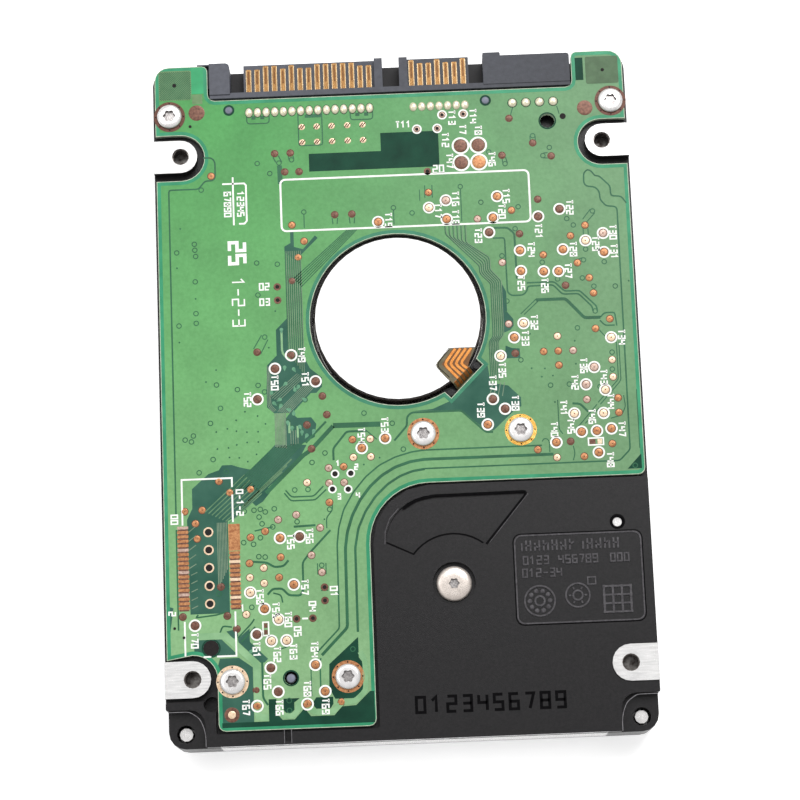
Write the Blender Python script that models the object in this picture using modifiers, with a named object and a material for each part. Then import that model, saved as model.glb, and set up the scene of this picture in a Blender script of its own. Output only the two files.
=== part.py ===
"""A 2.5-inch SATA hard disk drive, 9.5 mm tall, lying on its cover with its circuit board up.

Every length in this script is in millimetres and every helper turns it into metres, so the
model itself is in metres.  +Z points from the cover to the circuit board, +Y to the connector.
Z = 0 is the face that the drive rests on.
"""

from math import acos, asin, atan2, cos, degrees, hypot, pi, radians, sin, tan

import bmesh
import bpy
from mathutils import Matrix, Vector

MM = 0.001

# ---------------------------------------------------------------- driving dimensions (mm)

HALF_WIDTH = 34.85             # the casting, side to side
LOWER_END = -50.1              # the casting's end away from the connector
BOARD_END = 49.75              # the casting's end at the connector
CONNECTOR_END = 50.35          # the tips of the connector's guides
PAD_TOP = 9.5                  # the plane of the four machined mounting pads

MOUNT_X = 30.86                # M3 hole centres under the drive
MOUNT_Y = (36.1, -40.5)        # 14.0 mm and 90.6 mm from the connector end
MOUNT_HOLE = 1.25              # radius of a tapped M3 hole at its minor diameter
MOUNT_DEPTH = 3.0
SIDE_HOLE_Z = 6.5              # side holes lie 3.0 mm below the pads
SIDE_HOLE_DEPTH = 2.3
PAD_RADII = (2.45, 2.6)        # round ends of the upper and the lower pads

SPINDLE = (0.0, 10.6)          # axis of the discs
PIVOT = (6.5, -28.3)           # axis of the head actuator
LATCH = (30.05, -20.4)         # axis of the parking latch
PARK_ANGLE = 153.5             # direction of the parked arms, seen from the board side

PLATTER_RADIUS = 32.5
PLATTER_BORE = 10.0
PLATTER_THICK = 0.635
LOWER_PLATTER = 1.9            # lower face of each platter
UPPER_PLATTER = 4.2

WELL_RADIUS = 33.1             # disc well in the casting
BAY_LEFT = -29.5               # actuator bay, joined to the disc well
BAY_RIGHT = 32.0
BAY_STEP_X = 28.4
BAY_STEP_Y = -27.0
BAY_BOTTOM = -46.6
CEILING = 5.9                  # roof of the sealed space
BOARD_FLOOR = 6.6              # floor of the pocket under the circuit board
RIM_TOP = 7.75                 # rim that the board lies on
RIM_BOTTOM = 1.45              # rim that the cover gasket seals against
DECK_TOP = 9.25                # the bare lower right part of the casting
VCM_CEILING = 8.3              # deeper roof over the voice coil motor

BOARD_BOTTOM = 7.9
BOARD_TOP = 8.7
MOTOR_OPENING = 12.75          # round opening of the board
MOTOR_RADIUS = 12.15           # motor bracket
MOTOR_TOP = 9.2
FLEX_ANGLE = -45.0             # direction in which the motor's flex leaves
FLEX_FACE = 9.37               # top of the flex where it lies on the motor
FLEX_THICK = 0.1
FLEX_WIDTH = 3.4

BOARD_SCREWS = (
    (-32.4, 42.5), (32.5, 42.3),
    (3.0, -6.45), (17.0, -6.45),
    (-25.3, -40.95), (-9.0, -40.85),
)
BOARD_HOLES = (((23.1, 39.6), 1.1), ((-28.2, -36.1), 1.15), ((-17.0, -40.7), 1.0))    # centre, radius
COVER_SCREWS = (
    (-32.1, -48.0), (32.1, -48.0),
    (-31.6, 47.2), (31.6, 47.2),
    (-32.1, -31.0), (32.1, -31.0),
)
SCREW_SIDES = 6                # driver recesses are six-sided

COVER_FLANGE = (0.55, 1.05)    # lower and upper face of the cover's flat rim
COVER_FACE = 0.12              # outer face of the cover's raised middle
COVER_SHEET = 0.48             # sheet thickness of the raised middle
FOAM = (6.7, 6.9)              # insulating sheet under the board
CHIP_LOW = 7.0
CHIP_HIGH = 7.82

POWER_X = -20.65               # first power contact
SIGNAL_X = 3.45                # first signal contact
CONTACT_PITCH = 1.27
CONTACT_WIDTH = 0.84
POWER_LENGTHS = "SSLLSLSSLLLLLSS"    # long and short contacts, left to right
SIGNAL_LENGTHS = "LSSLSSL"
CONTACT_TIPS = {"L": 50.1, "S": 49.6}
CONTACT_BAR = 43.6             # hidden end of the contacts
CONTACT_LEVEL = (7.62, 7.74)
TONGUE = (6.3, 7.55)           # faces of the tongues that carry the contacts
TONGUE_TIP = 50.3
JUMPER_X = (18.1, 20.1, 22.1, 24.1)

ARM_LENGTH = 21.0              # pivot to the arm's end
HEAD_RADIUS = 35.0             # pivot to a read/write head
TAB_END = 37.4                 # pivot to the tip of a lift tab
ARM_LEVELS = ((0.95, 1.42), (3.05, 3.68), (5.33, 5.72))
SUSPENSION_LEVELS = ((1.5, 1), (2.86, -1), (3.78, 1), (5.16, -1))    # lower face, side of the head
SUSPENSION_THICK = 0.1
COIL_LOW = 3.7
COIL_HIGH = 5.3
POST_ANGLES = (10.5, -95.5)    # posts that join the two yokes, outside the coil's sweep
POST_RADIUS = 15.6
MAGNET_SECTOR = (8.2, 16.0, -80, -8)
RAMP_FINGERS = ((1.68, 2.77), (3.96, 5.08))

# ---------------------------------------------------------------- scene, materials, objects


def clear_scene():
    for old in list(bpy.data.objects):
        bpy.data.objects.remove(old, do_unlink=True)


def new_collection(name):
    group = bpy.data.collections.new(name)
    bpy.context.scene.collection.children.link(group)
    return group


clear_scene()
DRIVE = new_collection("hard_disk_drive")
TOOLS = new_collection("cutters")


def material(name, colour, roughness, metallic):
    """One Principled material per kind of surface, made once and reused."""
    known = bpy.data.materials.get(name)
    if known:
        return known
    made = bpy.data.materials.new(name)
    made.use_nodes = True
    shader = made.node_tree.nodes["Principled BSDF"]
    shader.inputs["Base Color"].default_value = (*colour, 1.0)
    shader.inputs["Roughness"].default_value = roughness
    shader.inputs["Metallic"].default_value = metallic
    made.diffuse_color = (*colour, 1.0)
    return made


def black_casting():
    return material("black_casting", (0.035, 0.033, 0.035), 0.55, 0.2)


def bare_aluminium():
    return material("bare_aluminium", (0.80, 0.80, 0.82), 0.35, 1.0)


def polished_steel():
    return material("polished_steel", (0.78, 0.78, 0.80), 0.18, 1.0)


def plated_steel():
    return material("plated_steel", (0.55, 0.55, 0.57), 0.3, 1.0)


def stainless_cover():
    return material("stainless_cover", (0.62, 0.62, 0.63), 0.4, 1.0)


def green_board():
    return material("green_board", (0.10, 0.36, 0.13), 0.45, 0.0)


def white_label():
    return material("white_label", (0.92, 0.92, 0.91), 0.6, 0.0)


def grey_plastic():
    return material("grey_plastic", (0.11, 0.105, 0.13), 0.55, 0.0)


def ivory_plastic():
    return material("ivory_plastic", (0.82, 0.78, 0.66), 0.4, 0.0)


def black_plastic():
    return material("black_plastic", (0.02, 0.02, 0.022), 0.4, 0.0)


def gold_contact():
    return material("gold_contact", (0.83, 0.58, 0.24), 0.25, 1.0)


def amber_film():
    return material("amber_film", (0.55, 0.24, 0.04), 0.35, 0.0)


def black_rubber():
    return material("black_rubber", (0.03, 0.03, 0.03), 0.8, 0.0)


def dark_foam():
    return material("dark_foam", (0.06, 0.06, 0.07), 0.95, 0.0)


def white_filter():
    return material("white_filter", (0.85, 0.85, 0.82), 0.95, 0.0)


def magnet_plating():
    return material("magnet_plating", (0.45, 0.44, 0.42), 0.35, 1.0)


def copper_wire():
    return material("copper_wire", (0.72, 0.33, 0.14), 0.35, 1.0)


def mirror_platter():
    return material("mirror_platter", (0.75, 0.74, 0.72), 0.05, 1.0)


def bearing_bronze():
    return material("bearing_bronze", (0.55, 0.42, 0.22), 0.35, 1.0)


def axis_empty(name, place):
    """An empty on a joint's axis; the pieces that turn about it are its children."""
    empty = bpy.data.objects.new(name, None)
    empty.location = (place[0] * MM, place[1] * MM, 0.0)
    empty.empty_display_size = 5 * MM
    DRIVE.objects.link(empty)
    return empty


SPINDLE_AXIS = axis_empty("spindle_axis", SPINDLE)
PIVOT_AXIS = axis_empty("pivot_axis", PIVOT)
LATCH_AXIS = axis_empty("latch_axis", LATCH)
MOTOR_CENTRE = axis_empty("motor_centre", SPINDLE)
PIVOT_CENTRE = axis_empty("pivot_centre", PIVOT)


def add_object(name, mesh, look=None, parent=None):
    """A finished part when it has a material, or else a hidden tool for a Boolean."""
    made = bpy.data.objects.new(name, mesh)
    if look:
        mesh.materials.append(look)
        DRIVE.objects.link(made)
    else:
        TOOLS.objects.link(made)
        made.hide_render = True
        made.display_type = "WIRE"
    made.parent = parent
    mesh.shade_smooth()
    mesh.set_sharp_from_angle(angle=radians(35))
    return made


def combine(target, tool, operation):
    change = target.modifiers.new(f"{operation.lower()}_{tool.name}", "BOOLEAN")
    change.operation = operation
    change.solver = "EXACT"
    change.object = tool


def cut(target, tool):
    combine(target, tool, "DIFFERENCE")


def join(target, tool):
    combine(target, tool, "UNION")


# ---------------------------------------------------------------- outlines (mm, counter-clockwise)


def arc(centre, radius, start, end, steps):
    """Points of an arc from one angle to another, in degrees."""
    points = []
    for i in range(steps + 1):
        angle = radians(start + (end - start) * i / steps)
        points.append((centre[0] + radius * cos(angle), centre[1] + radius * sin(angle)))
    return points


def circle(centre, radius, steps):
    return arc(centre, radius, 0, 360, steps)[:-1]


def rounded(corners, steps=4):
    """A closed outline through corners (x, y) or (x, y, fillet radius)."""
    points = []
    for i, corner in enumerate(corners):
        here = Vector(corner[:2])
        if len(corner) == 2:
            points.append(tuple(here))
            continue
        before = (Vector(corners[i - 1][:2]) - here).normalized()
        after = (Vector(corners[(i + 1) % len(corners)][:2]) - here).normalized()
        half = before.angle(after) / 2
        centre = here + (before + after).normalized() * (corner[2] / sin(half))
        first = here + before * (corner[2] / tan(half)) - centre
        last = here + after * (corner[2] / tan(half)) - centre
        start = atan2(first.y, first.x)
        sweep = (atan2(last.y, last.x) - start + pi) % (2 * pi) - pi
        points += arc(centre, corner[2], degrees(start), degrees(start + sweep), steps)
    return points


def rectangle(left, right, bottom, top, radius=0.0, steps=3):
    corners = ((right, bottom), (right, top), (left, top), (left, bottom))
    if radius:
        corners = [(x, y, radius) for x, y in corners]
    return rounded(corners, steps)


def sector(inner, outer, start, end, steps, centre=(0.0, 0.0)):
    """A ring sector between two radii and two angles."""
    outside = arc(centre, outer, start, end, steps)
    inside = arc(centre, inner, end, start, steps)
    return outside + inside


def bay_outline(grow):
    """The disc well and the actuator bay as one outline, moved outwards by grow."""
    radius = WELL_RADIUS + grow
    left, right = BAY_LEFT - grow, BAY_RIGHT + grow
    start = -degrees(acos((right - SPINDLE[0]) / radius))
    end = 180 + degrees(acos((SPINDLE[0] - left) / radius))
    corners = (
        (left, BAY_BOTTOM - grow, 3.0),
        (BAY_STEP_X + grow, BAY_BOTTOM - grow, 3.0),
        (BAY_STEP_X + grow, BAY_STEP_Y - grow, 1.5),
        (right, BAY_STEP_Y - grow, 1.5),
    )
    well = arc(SPINDLE, radius, start, end, 36)
    bay = rounded((well[-1],) + corners + (well[0],))[1:-1]
    return well + bay


# ---------------------------------------------------------------- solids


def prism(name, loops, low, high, look=None, parent=None):
    """A flat outline, with any holes as further loops, given a thickness along Z."""
    outline = bpy.data.curves.new(name, "CURVE")
    outline.dimensions = "2D"
    outline.fill_mode = "BOTH"
    outline.extrude = (high - low) / 2 * MM
    for loop in loops:
        spline = outline.splines.new("POLY")
        spline.points.add(len(loop) - 1)
        for point, (x, y) in zip(spline.points, loop):
            point.co = (x * MM, y * MM, 0, 1)
        spline.use_cyclic_u = True
    holder = bpy.data.objects.new(name + "_outline", outline)
    TOOLS.objects.link(holder)
    view = bpy.context.evaluated_depsgraph_get()
    mesh = bpy.data.meshes.new_from_object(holder.evaluated_get(view))
    bpy.data.objects.remove(holder)
    bpy.data.curves.remove(outline)
    shape = bmesh.new()
    shape.from_mesh(mesh)
    bmesh.ops.remove_doubles(shape, verts=shape.verts, dist=0.0005 * MM)
    bmesh.ops.translate(shape, verts=shape.verts, vec=(0, 0, (low + high) / 2 * MM))
    bmesh.ops.recalc_face_normals(shape, faces=shape.faces)
    shape.to_mesh(mesh)
    shape.free()
    mesh.name = name
    return add_object(name, mesh, look, parent)


def mesh_object(name, shape, look, parent):
    mesh = bpy.data.meshes.new(name)
    shape.to_mesh(mesh)
    shape.free()
    return add_object(name, mesh, look, parent)


def boxes(name, spans, look=None, parent=None):
    """Boxes that don't touch, each given as (left, right, front, back, low, high)."""
    shape = bmesh.new()
    for left, right, front, back, low, high in spans:
        size = Matrix.Diagonal(((right - left) * MM, (back - front) * MM, (high - low) * MM, 1))
        middle = Vector((left + right, front + back, low + high)) * (MM / 2)
        bmesh.ops.create_cube(shape, size=1, matrix=Matrix.Translation(middle) @ size)
    return mesh_object(name, shape, look, parent)


def cylinders(name, places, radius, low, high, steps=16, look=None, parent=None):
    """Upright cylinders that don't touch, centred on the given places."""
    shape = bmesh.new()
    for x, y in places:
        middle = Matrix.Translation((x * MM, y * MM, (low + high) / 2 * MM))
        bmesh.ops.create_cone(
            shape, cap_ends=True, segments=steps, radius1=radius * MM, radius2=radius * MM,
            depth=(high - low) * MM, matrix=middle,
        )
    return mesh_object(name, shape, look, parent)


def turned(name, profile, steps, look=None, parent=None):
    """A turned solid: its closed (radius, z) profile runs down its outer side."""
    shape = bmesh.new()
    ring = [shape.verts.new((r * MM, 0, z * MM)) for r, z in profile]
    for i, vertex in enumerate(ring):
        nearby = ring[(i + 1) % len(ring)]
        if profile[i][0] or profile[(i + 1) % len(ring)][0]:
            shape.edges.new((vertex, nearby))
    made = mesh_object(name, shape, look, parent)
    screw = made.modifiers.new("turned", "SCREW")
    screw.axis = "Z"
    screw.angle = 2 * pi
    screw.steps = steps
    screw.render_steps = steps
    screw.use_merge_vertices = True
    screw.merge_threshold = 0.001 * MM
    screw.use_smooth_shade = True
    return made


def ring_profile(inner, outer, low, high):
    return ((inner, high), (outer, high), (outer, low), (inner, low))


def ring(name, inner, outer, low, high, steps, look=None, parent=None):
    return turned(name, ring_profile(inner, outer, low, high), steps, look, parent)


def around(axis, radius, angle):
    """A place at a distance and direction from an axis."""
    return (axis[0] + radius * cos(radians(angle)), axis[1] + radius * sin(radians(angle)))


def flex_place(out, aside):
    """A place out from the spindle towards the motor's flex, and aside from that line."""
    return around(SPINDLE, hypot(out, aside), FLEX_ANGLE + degrees(atan2(aside, out)))


# ---------------------------------------------------------------- casting


def casting_outline():
    """Footprint of the casting; its sides step in at the two lower corners."""
    step_y = -44.5
    narrow = HALF_WIDTH - 0.35
    corners = (
        (narrow, LOWER_END, 2.4),
        (narrow, step_y - 0.35),
        (HALF_WIDTH, step_y),
        (HALF_WIDTH, BOARD_END, 2.2),
        (-HALF_WIDTH, BOARD_END, 2.2),
        (-HALF_WIDTH, step_y),
        (-narrow, step_y - 0.35),
        (-narrow, LOWER_END, 2.4),
    )
    return rounded(corners, 4)


def deck_outline():
    """The bare part of the casting beside the board, with its lower border and corners."""
    return rounded((
        (HALF_WIDTH - 0.1, -44.75, 0.2),
        (HALF_WIDTH - 0.1, -14.0, 0.3),
        (-4.75, -14.0, 8.2),
        (-4.75, -48.3, 0.3),
        (-27.7, -48.3, 0.3),
        (-27.7, -43.6, 0.3),
        (-HALF_WIDTH + 0.1, -43.6, 0.2),
        (-HALF_WIDTH + 0.1, -44.75, 0.2),
        (-29.2, -44.75, 2.2),
        (-29.2, LOWER_END + 0.05, 0.2),
        (29.2, LOWER_END + 0.05, 0.2),
        (29.2, -44.75, 2.2),
    ), 4)


def fan_recess():
    """The shallow fan-shaped step beside the pivot screw."""
    inner = arc(PIVOT, 7.15, 49.5, 142.5, 8)
    outer = [(-2.9, -21.8)] + arc((4.0, -22.6), 7.1, 174, 90, 8) + [(17.2, -15.5), (17.2, -15.9)]
    return (inner + outer)[::-1]


def pad_outline(side, y, radius):
    """One mounting pad: a tongue from the side edge, round at its inner end."""
    edge = side * (HALF_WIDTH - 0.05)
    inner_end = arc((side * MOUNT_X, y), radius, 90 * side, 90 * side + 180, 10)
    return inner_end + [(edge, y - side * radius), (edge, y + side * radius)]


def board_pocket():
    """The hollow under the circuit board, with the bosses that stand in it."""
    outline = rounded((
        (-6.4, -46.4, 1.0),
        (-6.4, -13.0, 9.6),
        (33.2, -13.0, 1.0),
        (33.2, 31.6, 1.0),
        (26.6, 31.6, 1.0),
        (26.6, 45.0),
        (-26.6, 45.0),
        (-26.6, 31.6, 1.0),
        (-33.2, 31.6, 1.0),
        (-33.2, -34.5, 1.0),
        (-22.6, -34.5, 1.0),
        (-22.6, -46.4, 1.0),
    ))
    bosses = [circle(place, 2.0, 12) for place in BOARD_SCREWS[2:4] + BOARD_SCREWS[5:]]
    return [outline, circle(SPINDLE, 14.2, 36)] + bosses


def base_casting():
    body = prism("base_casting", [casting_outline()], RIM_BOTTOM, RIM_TOP, black_casting())
    join(body, prism("deck", [deck_outline()], 7.2, DECK_TOP))
    for side in (-1, 1):
        for number, (y, radius) in enumerate(zip(MOUNT_Y, PAD_RADII)):
            join(body, prism(f"pad_{side}_{number}", [pad_outline(side, y, radius)], 7.1, PAD_TOP))
    cut(body, prism("well_and_bay", [bay_outline(0.0)], 0.5, CEILING))
    cut(body, prism("under_board", board_pocket(), BOARD_FLOOR, 10.5))
    coil_space = sector(6.8, 18.0, -103, 17, 10, PIVOT)
    cut(body, prism("coil_space", [coil_space], 5.0, VCM_CEILING))
    cut(body, boxes("connector_space", [(-28.6, 27.2, 44.8, 52.0, 4.2, 10.5)]))
    cut(body, cylinders("motor_bore", [SPINDLE], MOTOR_RADIUS + 0.3, 5.0, 10.5, 40))
    cut(body, boxes("feedthrough", [(-29.0, -25.0, -30.6, -18.6, 5.0, 7.0)]))
    cut(body, prism("fan_step", [fan_recess()], DECK_TOP - 0.35, 10.5))
    mounts = [(side * MOUNT_X, y) for side in (-1, 1) for y in MOUNT_Y]
    cut(body, cylinders("mount_holes", mounts, MOUNT_HOLE, PAD_TOP - MOUNT_DEPTH, 10.5, 16))
    cut(body, side_hole_cutters())
    cut(body, cylinders("board_screw_holes", BOARD_SCREWS, 0.95, 6.2, 10.5, 10))
    cut(body, cylinders("corner_screw_holes", COVER_SCREWS[:2], 1.3, 0.5, 10.5, 14))
    cut(body, cylinders("blind_screw_holes", COVER_SCREWS[2:], 1.3, 0.5, 5.4, 8))
    cut(body, cylinders("pivot_screw_hole", [PIVOT], 1.4, 5.0, 10.5, 12))
    cut(body, cylinders("pivot_counterbore", [PIVOT], 3.05, 8.45, 10.5, 24))
    cut(body, cylinders("latch_pin_hole", [(LATCH[0] - 0.12, LATCH[1] + 0.1)], 0.95, 5.0, 10.5, 14))
    cut(body, cylinders("breather_hole", [(-28.3, -44.0)], 1.15, 6.2, 10.5, 14))
    cut(body, boxes("border_slot", [(-18.1, -17.25, -49.6, -47.0, RIM_TOP + 0.2, 10.5)]))
    corners = ((12.0, -2.0), (17.5, -2.0), (17.5, 2.0), (12.0, 2.0))
    channel = [flex_place(out, aside) for out, aside in corners]
    cut(body, prism("flex_channel", [channel], 7.4, 10.5))
    lugs = [flex_place(13.0, side * 2.7) for side in (-1, 1)]
    join(body, cylinders("flex_lugs", lugs, 0.5, 7.5, 8.3, 12))


def side_hole_cutters():
    shape = bmesh.new()
    reach = 2 * SIDE_HOLE_DEPTH * MM
    for side in (-1, 1):
        for y in MOUNT_Y:
            centre = Vector((side * HALF_WIDTH, y, SIDE_HOLE_Z)) * MM
            place = Matrix.Translation(centre) @ Matrix.Rotation(pi / 2, 4, "Y")
            bmesh.ops.create_cone(
                shape, cap_ends=True, segments=14, radius1=MOUNT_HOLE * MM,
                radius2=MOUNT_HOLE * MM, depth=reach, matrix=place,
            )
    return mesh_object("side_holes", shape, None, None)


# ---------------------------------------------------------------- cover, gasket, labels, filters


def cover_outline(inset):
    left, right = -HALF_WIDTH + inset, HALF_WIDTH - inset
    return rectangle(left, right, LOWER_END + inset, BOARD_END - inset, 2.6, 3)


def plateau(name, inset, low, high):
    """The raised middle of the cover, which stays clear of the six screw heads."""
    side, lower, upper = 33.4 - inset, LOWER_END + 1.1 + inset, BOARD_END - 1.0 - inset
    block = prism(name, [rectangle(-side, side, lower, upper, 1.0)], low, high)
    cut(block, cylinders(name + "_corners", COVER_SCREWS, 3.0 + inset, low - 1, high + 1, 16))
    return block


def top_cover():
    """A pressed steel cover: a flange with a raised middle, hollow on its inner side."""
    cover = prism("top_cover", [cover_outline(0.2)], *COVER_FLANGE, stainless_cover())
    join(cover, plateau("cover_plateau", 0.0, COVER_FACE, 0.9))
    cut(cover, plateau("cover_hollow", 0.5, COVER_FACE + COVER_SHEET, 1.5))
    cut(cover, cylinders("cover_holes", COVER_SCREWS, 1.2, 0.0, 1.5, 8))


def cover_label():
    outline = rectangle(-28.0, 28.0, -44.0, 44.0, 1.5)
    prism("cover_label", [outline], 0.0, 0.07, white_label())


def cover_gasket():
    prism("cover_gasket", [bay_outline(1.3), bay_outline(0.35)], 1.1, 1.4, black_rubber())


def driver_recess(name, place, radius, low, high):
    return cylinders(name, [place], radius, low, high, SCREW_SIDES)


def cover_screws():
    """Torx-driven screws from the cover side; the tips of the first two show in the corner pockets."""
    for number, (x, y) in enumerate(COVER_SCREWS, 1):
        tip = 6.9 if number < 3 else 5.0
        profile = ((0, tip), (0.95, tip), (0.95, 0.52), (1.75, 0.52), (1.75, 0.2), (1.6, 0.05), (0, 0.05))
        screw = turned(f"cover_screw_{number}", profile, 10, polished_steel())
        screw.location = (x * MM, y * MM, 0)
        cut(screw, driver_recess(f"cover_screw_recess_{number}", (x, y), 0.75, -0.3, 0.4))


def breather_filter():
    cylinders("breather_filter", [(-26.0, -43.0)], 2.2, 4.3, CEILING - 0.1, 20, white_filter())


def recirculation_filter():
    outline = rectangle(28.4, 31.4, -15.2, -7.0, 0.8)
    prism("recirculation_filter", [outline], 1.3, CEILING - 0.2, white_filter())


# ---------------------------------------------------------------- circuit board


def board_outline():
    """Outline of the board, counter-clockwise from its lower right corner."""
    left, right = -34.5, 34.5
    left_top, right_top = 50.1, 50.05
    notch = 3.45
    points = arc((right - 1.0, -12.6), 1.0, 270, 360, 3)
    points += [(right, MOUNT_Y[0] - notch)]
    points += arc((MOUNT_X, MOUNT_Y[0]), notch, 270, 90, 14)
    points += [(right, MOUNT_Y[0] + notch)]
    points += arc((right - 2.1, right_top - 2.1), 2.1, 0, 90, 5)
    points += arc((27.8, right_top - 0.8), 0.8, 90, 180, 3)
    points += arc((26.0, 45.7), 1.0, 0, -90, 3)
    points += arc((-25.7, 45.7), 1.0, 270, 180, 3)
    points += arc((-27.5, left_top - 0.8), 0.8, 0, 90, 3)
    points += arc((left + 2.1, left_top - 2.1), 2.1, 90, 180, 5)
    points += [(left, MOUNT_Y[0] + notch)]
    points += arc((-MOUNT_X, MOUNT_Y[0]), notch, 90, -90, 14)
    points += [(left, MOUNT_Y[0] - notch)]
    points += [(left, MOUNT_Y[1] + notch - 0.6)]
    points += arc((-MOUNT_X, MOUNT_Y[1]), notch + 0.02, 90, -2, 8)
    points += arc((-26.4, -46.9), 1.0, 180, 270, 3)
    points += arc((-6.2, -46.9), 1.0, 270, 360, 3)
    points += arc((3.4, -22.2), 8.6, 180, 90, 10)
    return points


def motor_opening():
    """Round opening for the motor, with the square nick where its flex passes under."""
    half = degrees(asin(3.35 / MOTOR_OPENING))
    rim = arc(SPINDLE, MOTOR_OPENING, FLEX_ANGLE + half, FLEX_ANGLE + 360 - half, 52)
    return rim + [flex_place(13.6, -3.35), flex_place(13.6, 3.35)]


def circuit_board():
    loops = [board_outline(), motor_opening()]
    loops += [circle(place, 1.0, 10) for place in BOARD_SCREWS]
    loops += [circle(place, radius, 12) for place, radius in BOARD_HOLES]
    prism("circuit_board", loops, BOARD_BOTTOM, BOARD_TOP, green_board())


def board_screws():
    """Pan-head Torx screws that clamp the board to the casting."""
    profile = ((0, 9.3), (1.45, 9.3), (1.8, 9.05), (1.8, 8.76), (0.75, 8.76), (0.75, 6.5), (0, 6.5))
    for number, (x, y) in enumerate(BOARD_SCREWS, 1):
        screw = turned(f"board_screw_{number}", profile, 14, polished_steel())
        screw.location = (x * MM, y * MM, 0)
        cut(screw, driver_recess(f"board_screw_recess_{number}", (x, y), 0.85, 8.95, 9.8))


def board_foam():
    """Insulating foam sheet between the board's chips and the casting."""
    outline = rectangle(-32.4, 32.6, -12.0, 31.0, 1.0)
    bosses = [circle(place, 2.4, 12) for place in BOARD_SCREWS[2:4]]
    loops = [outline, circle(SPINDLE, 14.8, 24)] + bosses
    prism("board_foam", loops, *FOAM, dark_foam())


def board_chips():
    """The two large chips, on the hidden face of the board."""
    boxes("controller_chip", [(17.5, 29.5, 10.5, 22.5, CHIP_LOW, CHIP_HIGH)], black_plastic())
    boxes("motor_driver_chip", [(-27.0, -19.0, -3.0, 5.0, CHIP_LOW, CHIP_HIGH)], black_plastic())


def board_connector():
    """Surface connector under the board that takes the head feedthrough."""
    outline = rectangle(-32.4, -24.0, -30.9, -18.3, 0.3)
    prism("board_connector", [outline], BOARD_FLOOR + 0.25, CHIP_HIGH, ivory_plastic())


# ---------------------------------------------------------------- SATA connector


def comb(name, first, lengths):
    """Flat contacts side by side, joined by one hidden bar behind them."""
    half = CONTACT_WIDTH / 2
    last = first + CONTACT_PITCH * (len(lengths) - 1)
    outline = [(first - half, CONTACT_BAR), (last + half, CONTACT_BAR)]
    for i in reversed(range(len(lengths))):
        centre, tip = first + CONTACT_PITCH * i, CONTACT_TIPS[lengths[i]]
        outline += [(centre + half, CONTACT_BAR + 0.5), (centre + half, tip)]
        outline += [(centre - half, tip), (centre - half, CONTACT_BAR + 0.5)]
    prism(name, [outline], *CONTACT_LEVEL, gold_contact())


def contacts():
    comb("power_contacts", POWER_X, POWER_LENGTHS)
    comb("signal_contacts", SIGNAL_X, SIGNAL_LENGTHS)


def jumper_pins():
    """Four square pins in the open box at the right end of the connector."""
    spans = [(x - 0.25, x + 0.25, 43.9, 49.9, 6.95, 7.4) for x in JUMPER_X]
    pins = boxes("jumper_pins", spans, gold_contact())
    join(pins, boxes("pin_bar", [(JUMPER_X[0] - 0.25, JUMPER_X[-1] + 0.25, 44.1, 44.5, 7.0, 7.35)]))


def sata_housing():
    """Connector housing: rear rail, two guide blocks, two tongues and the jumper box."""
    body = boxes("sata_housing", [(-26.4, 26.75, 44.95, 45.75, 4.5, 9.0)], grey_plastic())
    left_block = rounded(((-26.4, 45.5), (-23.4, 45.5), (-23.4, 50.3, 0.6), (-26.4, 50.3)), 3)
    join(body, prism("left_block", [left_block], 4.5, 9.2))
    join(body, boxes("left_ear", [(-28.2, -25.8, 47.0, CONNECTOR_END, 5.2, 7.6)]))
    join(body, boxes("left_lip", [(-28.2, -25.9, 50.16, CONNECTOR_END, 7.4, 8.7)]))
    right_block = rounded((
        (14.0, 45.5), (26.75, 45.5), (26.75, 49.85, 0.4), (16.6, 49.85), (16.6, CONNECTOR_END, 0.2),
        (14.0, CONNECTOR_END, 0.2),
    ), 3)
    join(body, prism("right_block", [right_block], 4.5, 9.1))
    join(body, boxes("power_tongue", [(-21.4, -1.95, 45.5, TONGUE_TIP, *TONGUE)]))
    join(body, boxes("signal_tongue", [(2.75, 11.9, 45.5, TONGUE_TIP, *TONGUE)]))
    join(body, boxes("keys", [(-2.05, -0.85, 45.4, 50.3, 6.35, 8.7), (1.6, 2.85, 45.4, 50.3, 6.35, 8.7)]))
    join(body, boxes("floor_web", [(-23.9, 14.5, 45.4, 49.95, 4.5, 5.2)]))
    join(body, boxes("board_shelf", [(-25.4, 26.0, 41.4, 45.2, 6.75, 7.5)]))
    slots = [(left, right, 43.0, 46.3, 7.54, 7.85) for left, right in ((-21.3, -2.15), (2.9, 11.7))]
    cut(body, boxes("contact_slots", slots))
    cut(body, boxes("jumper_box", [(16.9, 25.4, 45.9, 52.0, 5.9, 8.4)]))
    cut(body, boxes("pin_slot", [(17.6, 24.6, 43.7, 46.2, 6.85, 7.6)]))


# ---------------------------------------------------------------- spindle motor


def motor_bracket():
    """Turned aluminium cup that closes the motor from the board side."""
    skirt, plate = 5.95, 8.55
    profile = (
        (0, MOTOR_TOP), (MOTOR_RADIUS - 0.2, MOTOR_TOP), (MOTOR_RADIUS, MOTOR_TOP - 0.2),
        (MOTOR_RADIUS, skirt), (11.3, skirt), (11.3, plate),
        (4.3, plate), (4.3, 5.7), (3.5, 5.7), (3.5, plate), (0, plate),
    )
    turned("motor_bracket", profile, 40, bare_aluminium(), MOTOR_CENTRE)


def stator_core():
    """Nine laminated teeth on a yoke ring."""
    teeth, outline = 9, []
    for i in range(teeth):
        middle = 360 * i / teeth
        for radius, half_width in ((5.6, 0.55), (8.2, 0.55)):
            outline.append(around((0, 0), radius, middle - degrees(asin(half_width / radius))))
        outline += arc((0, 0), 9.0, middle - 15, middle + 15, 2)
        for radius, half_width in ((8.2, 0.55), (5.6, 0.55)):
            outline.append(around((0, 0), radius, middle + degrees(asin(half_width / radius))))
    prism("stator_core", [outline, circle((0, 0), 4.4, 18)], 6.3, 7.7, plated_steel(), MOTOR_CENTRE)


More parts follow.
